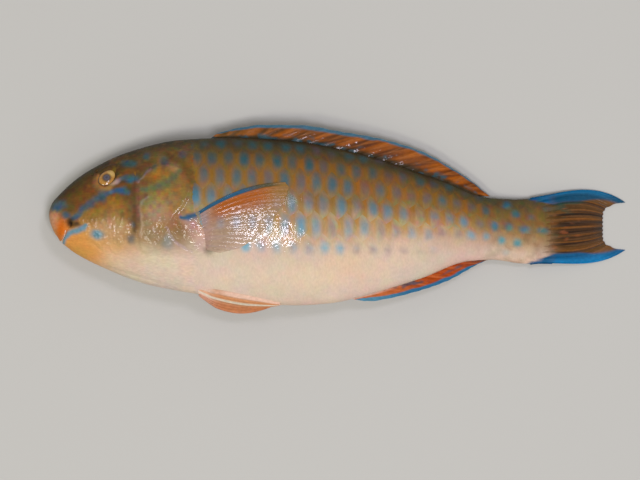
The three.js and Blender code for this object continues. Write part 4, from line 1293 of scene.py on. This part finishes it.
def floor():
    mesh = bpy.data.meshes.new("floor")
    corners = [(x * FLOOR_HALF, y * FLOOR_HALF, 0) for x, y in ((-1, -1), (1, -1), (1, 1), (-1, 1))]
    mesh.from_pydata(corners, [], [(0, 1, 2, 3)])
    plane = bpy.data.objects.new("floor", mesh)
    bpy.context.scene.collection.objects.link(plane)
    mesh.materials.append(speckled_material("floor_paper", (0.475, 0.475, 0.434), "Generated", 3, 2,
                                            (0.992, 1.008), 0.9))
    plane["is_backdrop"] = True


def area_light(name, place, size, energy, colour):
    light = bpy.data.lights.new(name, "AREA")
    light.shape = "RECTANGLE"
    light.size, light.size_y = size
    light.energy = energy
    light.color = colour
    lamp = bpy.data.objects.new(name, light)
    lamp.location = place
    lamp.rotation_euler = (-Vector(place)).to_track_quat("-Z", "Y").to_euler()
    bpy.context.scene.collection.objects.link(lamp)


def studio_world():
    """Even light that is brightest near the horizon, so that nothing mirrors a hard-edged panel."""
    world = bpy.data.worlds.new("studio")
    world.use_nodes = True
    tree = world.node_tree
    up = node(tree, "SeparateXYZ", "Z", {"Vector": node(tree, "TexCoord", "Generated")})
    feed(tree, tree.nodes["Background"],
         {"Color": (1, 0.99, 0.9, 1), "Strength": remap(tree, up, 0.47, 0.29, 0.15, 0.95)})
    bpy.context.scene.world = world


def lights():
    """Each lamp stands where the wet places under it mirror it to the camera."""
    area_light("spark", (0.24, -0.5, 3.0), (0.6, 0.8), 50, (0.91, 0.88, 1.0))
    area_light("head_spark", (-1.15, -0.92, 2.7), (0.6, 0.5), 20, (1.0, 0.97, 0.88))
    area_light("back_spark", (0.62, 0.85, 2.9), (0.5, 0.5), 17, (0.9, 0.84, 1.0))
    studio_world()
    bpy.context.scene.view_settings.view_transform = "Standard"


# The photograph's width in pixels, and what each shows in millimetres at the height of the fish's middle.
SENSOR = 36
PIXEL_MM = 0.7285
PHOTO_WIDTH = 640
PHOTO_CENTRE = (196.1, -18.9)
CAMERA_HEIGHT = 3.0
MIDDLE_HEIGHT = 0.02


def camera():
    data = bpy.data.cameras.new("camera")
    data.sensor_width = SENSOR
    data.lens = SENSOR * CAMERA_HEIGHT / (PHOTO_WIDTH * PIXEL_MM * MM)
    data.clip_start = 0.01
    eye_point = bpy.data.objects.new("camera", data)
    eye_point.location = ((PHOTO_CENTRE[0] + SHIFT[0]) * MM, (PHOTO_CENTRE[1] + SHIFT[1]) * MM,
                          CAMERA_HEIGHT + MIDDLE_HEIGHT)
    bpy.context.scene.collection.objects.link(eye_point)
    bpy.context.scene.camera = eye_point


SKIN_MATERIAL = wet_material("wet_skin")
SCALE_MATERIAL = wet_material("wet_scales", mottle=0.07, grain=(1.5, 0.7, 1.0), ripple=0.0003)
FIN_MATERIAL = wet_material("wet_fin", mottle=0.15, grain=(0.8, 1.2, 1.0), ripple=0.0003)
EYE_MATERIAL = wet_material("wet_eye", roughness=(0.3, 0.4), mottle_scale=1500, hue=0.2, bump=0.05, coat=0.8,
                            wet_coat=0.8, coat_roughness=0.05)

camera()
lights()
floor()
skin()
all_scales()
dorsal_fin()
anal_fin()
caudal_fin()
pectoral_fins()
pelvic_fins()
eye(1, "left")
eye(-1, "right")
beak()
